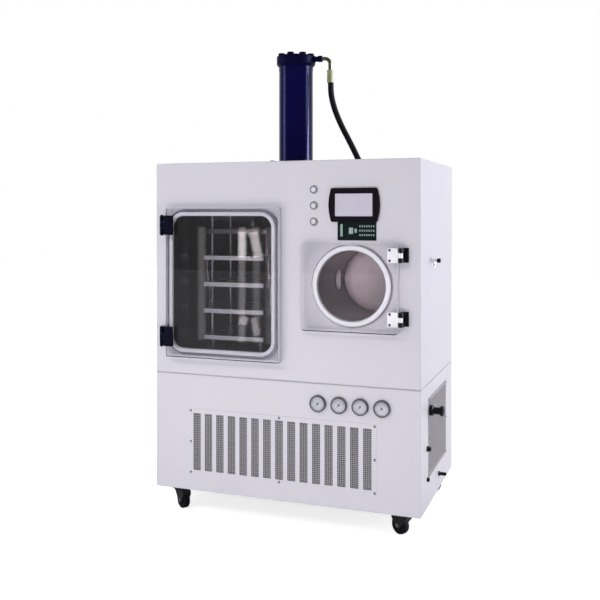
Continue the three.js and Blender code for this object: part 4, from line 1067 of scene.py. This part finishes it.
def fit_hose_fitting():
    """The union nuts, the bent pipe, and the ferrule with its crimped rings."""
    barrel, port = Place("ram_barrel"), Place("hose_fitting")
    y, z, low = barrel.y, barrel.high.z + 30, port.low.z
    start, bend_x, bend = barrel.x + HEAD_RADIUS + 5.3, port.high.x - 14, 25
    small = [(0, start), (12.5, start), (12.5, start + 15.5), (10.5, start + 15.8), (0, start + 15.8)]
    large = [(0, start + 14.5), (13.5, start + 14.5), (15, start + 16), (15, start + 30), (13.5, start + 31.8),
             (0, start + 31.8)]
    nuts = turned(large, "x", (0, y, z), 6, turned(small, "x", (0, y, z), 6))
    bevel(keep("hose_union_nuts", nuts, HEAD_COAT, "hose_fitting"), 0.5)
    points = [Vector((start + 30, y, z))]
    for k in range(17):
        angle = math.pi / 2 * k / 16
        points.append(Vector((bend_x - bend + bend * math.sin(angle), y, z - bend + bend * math.cos(angle))))
    points.append(Vector((bend_x, y, low + 53)))
    keep("hose_bent_pipe", swept(points, 8, 28), OLIVE_PIPE, "hose_fitting")
    crimp = [(0, 0), (13.5, 0), (14, 1)]
    for k in range(4):
        ring = 4 + 7.5 * k
        crimp += [(14, ring), (12.6, ring + 1.2), (12.6, ring + 3.8), (14, ring + 5)]
    crimp += [(14, 34.5), (11.8, 36.5), (11.8, 41), (13.9, 43), (13.9, 51.5), (11, 55), (0, 55)]
    keep("hose_ferrule", turned(crimp, centre=(bend_x, y, low), steps=48), PLATED_ZINC, "hose_fitting")
    finished("hose_boot", BLACK_RUBBER, 1.5)


fit_barrel()
fit_head()
fit_hose_fitting()


# ---- fittings on the right side


def turned_port(name, node, profile, steps, body="cabinet"):
    """A black fitting that comes straight out of the right side, which its profile is measured from."""
    place = Place(node)
    keep(name, turned(profile, "x", (RIGHT, place.y, place.z), steps), BLACK_PLASTIC, node, body)


def ends(node):
    """Where a node starts and ends, measured from the right side."""
    place = Place(node)
    return place.low.x - RIGHT, place.high.x - RIGHT


def fit_side_ports():
    start, end = ends("vacuum_port")
    face, r = 1.5, 13.8
    turned_port("vacuum_port_turned", "vacuum_port", [
        (0, start), (r, start), (r, face), (r + 6.2, face), (r + 7, face + 0.8), (r + 7, face + 12.5),
        (r + 5, face + 14.5), (r + 0.5, face + 15.5), (r, face + 18), (r, end - 16), (r + 5.2, end - 11.8),
        (r + 6, end - 10.5), (r + 6, end), (r - 3, end), (r - 3, face), (0, face),
    ], 64)
    start, end = ends("cable_gland")
    nut = [(0, -0.2), (10.8, -0.2), (10.8, 4.8), (9.5, 6), (0, 6)]
    turned_port("cable_gland_nut", "cable_gland", nut, 6)
    dome = [(0, start), (6.5, start), (6.5, 0), (9.3, 5)]
    for k in range(5):
        rib = 6.2 + 1.2 * k
        dome += [(9.4, rib), (8.9, rib + 0.6)]
    dome += [(9, 12.5), (7.4, 15.2), (5.5, end), (3.2, end - 0.6), (2.8, 9), (0, 9)]
    turned_port("cable_gland_dome", "cable_gland", dome, 40)
    start, end = ends("drain_spout")
    barbs = [(0, start), (5, start), (5, 0), (9.8, 0), (9.8, 5), (8.5, 6.5), (6.2, 8)]
    for k in range(3):
        barb = 12 + 6.5 * k
        barbs += [(6.2, barb), (7.8, barb + 0.8), (6.4, barb + 5.8)]
    barbs += [(6, end), (4.4, end), (4.4, 6), (0, 6)]
    turned_port("drain_spout_barbed", "drain_spout", barbs, 40)
    finished("vent_valve", HARD_CHROME, 0.4)
    start, end = ends("vent_knob")
    turned_port("vent_knob_turned", "vent_knob", [
        (0, start), (3, start), (3, start + 10.3), (5.8, start + 10.3), (8.2, start + 12.8),
        (8.7, start + 14.2), (8.7, end - 2.6), (7.8, end - 0.7), (6, end), (0, end),
    ], 40, "vent_knob")


fit_side_ports()


# ---- casters


def turned_about(profile, middle, axis, steps):
    """A turned piece about a level axis that points anywhere."""
    bm = turned(profile, steps=steps)
    axis = Vector(axis).normalized()
    up = Vector((0, 0, 1))
    turn = Matrix((up.cross(axis), up, axis)).transposed().to_4x4()
    bmesh.ops.transform(bm, matrix=Matrix.Translation(middle) @ turn, verts=bm.verts)
    return bm


def fit_caster(corner):
    """A fork, a wheel with a rounded tread, its axle's nuts, the swivel's race and the plate's bolts."""
    roll, swivel = JOINTS[f"caster_roll_{corner}"], JOINTS[f"caster_swivel_{corner}"]
    middle, pin = Vector(roll["pos_m"]) / MM, Vector(swivel["pos_m"]) / MM
    fork, wheel = f"caster_fork_{corner}", f"caster_wheel_{corner}"
    finished(fork, DARK_COAT, 1.2, body=fork)
    side = -13
    tread = [
        (6.3, side), (11.5, side), (12.5, side + 0.8), (23.5, side + 2.2), (25.5, side + 2.2),
        (26.8, side + 0.2), (33.5, side), (35.7, side + 2.2), (36.4, side + 6),
    ]
    profile = tread + [(36.6, 0)] + [(r, -a) for r, a in reversed(tread)] + [tread[0]]
    keep(f"{wheel}_moulded", turned_about(profile, middle, roll["axis"], 64), BLACK_RUBBER, wheel, wheel)
    for name, way in (("a", -1), ("b", 1)):
        nut = [(0, 18.8), (7.5, 18.8), (7.5, 20.2), (6.4, 20.9), (0, 20.9)]
        nut = turned_about([(r, way * a) for r, a in nut], middle, roll["axis"], 6)
        keep(f"{fork}_nut_{name}", nut, BRIGHT_STEEL, body=fork)
    race = [(0, 79), (31, 79), (34, 80.5), (36, 83.5), (36, 88.5), (34.5, 91.5), (30, 93), (0, 93)]
    race = turned(race, centre=(pin.x, pin.y, 0), steps=48)
    keep(f"{fork}_race", race, DARK_COAT, body=fork)
    in_rows(
        f"caster_plate_bolts_{corner}", hex_head(5.5, 3.5), BRIGHT_STEEL, (2, 2), (72, 56), FACE_DOWN,
        (pin.x, pin.y, 96), slot="chrome",
    )


for corner in ("front_left", "front_right", "rear_left", "rear_right"):
    fit_caster(corner)


# ---- refrigeration, seen dimly through the grilles

finished("compressor", DARK_COAT, 2)
finished("condenser", FIN_STOCK, 1, 1)
finished("condenser_fan", BLACK_PLASTIC, 0.5, 1, "condenser_fan")


# ---- floor, light and background, in metres

FLOOR_GLOW = 0.76
FLOOR_REACH = 14
ROOM, MIRRORED_ROOM = 0.48, 0.26
COOL, BLUE, ROSE = (0.66, 0.7, 1.0), (0.68, 0.73, 1.0), (1.0, 0.93, 0.96)


def backdrop_seen(tree, coordinates, near, far):
    """How far a ray sees the white backdrop, fully or by depth in a mirror. Then, if it is mirrored."""
    rays = tree.nodes.new("ShaderNodeLightPath").outputs
    bent = maths(tree, "MAXIMUM", rays["Is Glossy Ray"], rays["Is Transmission Ray"])
    before_matt = maths(tree, "LESS_THAN", rays["Diffuse Depth"], 0.5)
    mirrored = maths(tree, "MULTIPLY", bent, before_matt)
    place = tree.nodes.new("ShaderNodeTexCoord").outputs[coordinates]
    depth = add_node(tree, "ShaderNodeSeparateXYZ", {0: place}).outputs["Y"]
    behind = maths(tree, "MULTIPLY", mirrored, ramp(tree, depth, near, far))
    return maths(tree, "MAXIMUM", rays["Is Camera Ray"], behind), mirrored


def make_floor():
    """A wide white floor: it takes the object's shadow and fades into the background."""
    bm = bmesh.new()
    bmesh.ops.create_grid(bm, x_segments=1, y_segments=1, size=FLOOR_REACH)
    mesh = mesh_of("studio_floor", bm)
    made, tree, principled = new_material("studio_floor_white")
    set_values(principled.inputs, {
        "Base Color": (0.88, 0.88, 0.9, 1), "Roughness": 0.9, "Specular IOR Level": 0.0,
    })
    seen = backdrop_seen(tree, "Object", -0.2, 0.5)[0]
    amount = maths(tree, "MULTIPLY", seen, FLOOR_GLOW)
    glow = result(tree, "ShaderNodeEmission", {"Color": (1, 1, 1, 1), "Strength": amount})
    both = result(tree, "ShaderNodeAddShader", {0: principled.outputs[0], 1: glow})
    tree.links.new(both, tree.nodes["Material Output"].inputs["Surface"])
    mesh.materials.append(made)
    new_piece("studio_floor", mesh)


def make_world():
    """A soft grey room, dimmer in mirrors, with a white backdrop that gloss and glass see behind the object."""
    world = bpy.data.worlds.new("studio")
    SCENE.world = world
    world.use_nodes = True
    tree = world.node_tree
    tree.nodes.clear()
    backdrop, mirrored = backdrop_seen(tree, "Generated", -0.05, 0.35)
    level = maths(tree, "MULTIPLY_ADD", mirrored, MIRRORED_ROOM - ROOM, ROOM)
    light = result(tree, "ShaderNodeBackground", {"Color": (0.95, 0.95, 1.0, 1), "Strength": level})
    white = result(tree, "ShaderNodeBackground", {"Color": (1, 1, 1, 1), "Strength": 1.0})
    mixed = result(tree, "ShaderNodeMixShader", {0: backdrop, 1: light, 2: white})
    add_node(tree, "ShaderNodeOutputWorld", {"Surface": mixed})


def area_lamp(
    name, location, target, size, power, tint=(1, 1, 1), mirrored=True, matt=True, roll=0, spread=180,
):
    """A rectangular lamp that looks at a target. Mirrored and matt say which surfaces it lights."""
    data = bpy.data.lights.new(name, "AREA")
    data.shape = "RECTANGLE"
    data.size, data.size_y = size
    data.energy = power
    data.color = tint
    data.spread = math.radians(spread)
    lamp = new_piece(name, data)
    lamp.location = location
    aim = Vector(target) - Vector(location)
    turn = aim.to_track_quat("-Z", "Y") @ Quaternion((0, 0, 1), math.radians(roll))
    lamp.rotation_euler = turn.to_euler()
    lamp.visible_diffuse = matt
    lamp.visible_glossy = mirrored
    lamp.visible_transmission = mirrored


make_floor()
make_world()
area_lamp("side_strip", (3.6, 1.15, 1.9), (0, 0, 1.3), (0.7, 3.4), 66)
area_lamp("ram_glint", (3.45, 1.11, 2.0), (0, 0, 1.6), (1.2, 2.4), 440, BLUE, matt=False)
area_lamp("left_strip", (-3.46, -1.5, 2.05), (0, 0, 1.6), (1.1, 1.2), 50, COOL, matt=False)
area_lamp("front_fill", (-0.3, -2.5, 0.04), (0, 0, 0.22), (2.4, 0.9), 37, mirrored=False)
area_lamp("overhead", (-1.0, -3.2, 2.9), (0, 0, 0.8), (1.0, 0.7), 28, mirrored=False)
seal = Place("trap_gasket")
mouth = Vector((seal.x, seal.y, seal.z)) * MM
beside = (mouth.x + 0.5, -3.0, mouth.z + 0.1)
area_lamp("trap_beam", beside, mouth, (0.04, 0.04), 0.11, ROSE, mirrored=False, spread=9)
# Small lamps that the chamber's door mirrors: middle in x and z, width, height, brightness and roll.
WINDOWS = (
    (-1.695, 0.72, 0.05, 0.86, 0.9, 0),
    (-1.358, 0.72, 0.045, 0.86, 1.6, 0),
    (-1.241, 0.72, 0.05, 0.86, 0.9, 0),
    (-1.136, 0.72, 0.05, 0.86, 0.6, 0),
    (-1.358, 1.02, 0.053, 0.187, 6.0, 0),
    (-1.245, 1.02, 0.062, 0.187, 4.5, 12),
    (-1.345, 0.45, 0.06, 0.06, 3.0, -15),
    (-1.25, 0.41, 0.045, 0.127, 2.2, 14),
)
for count, (x, z, wide, tall, bright, lean) in enumerate(WINDOWS):
    power = math.pi * wide * tall * bright
    area_lamp(f"window_{count}", (x, -3.0, z), (-0.15, 0.0, 0.9), (wide, tall), power, ROSE, roll=lean)
SCENE.view_settings.view_transform = "Standard"
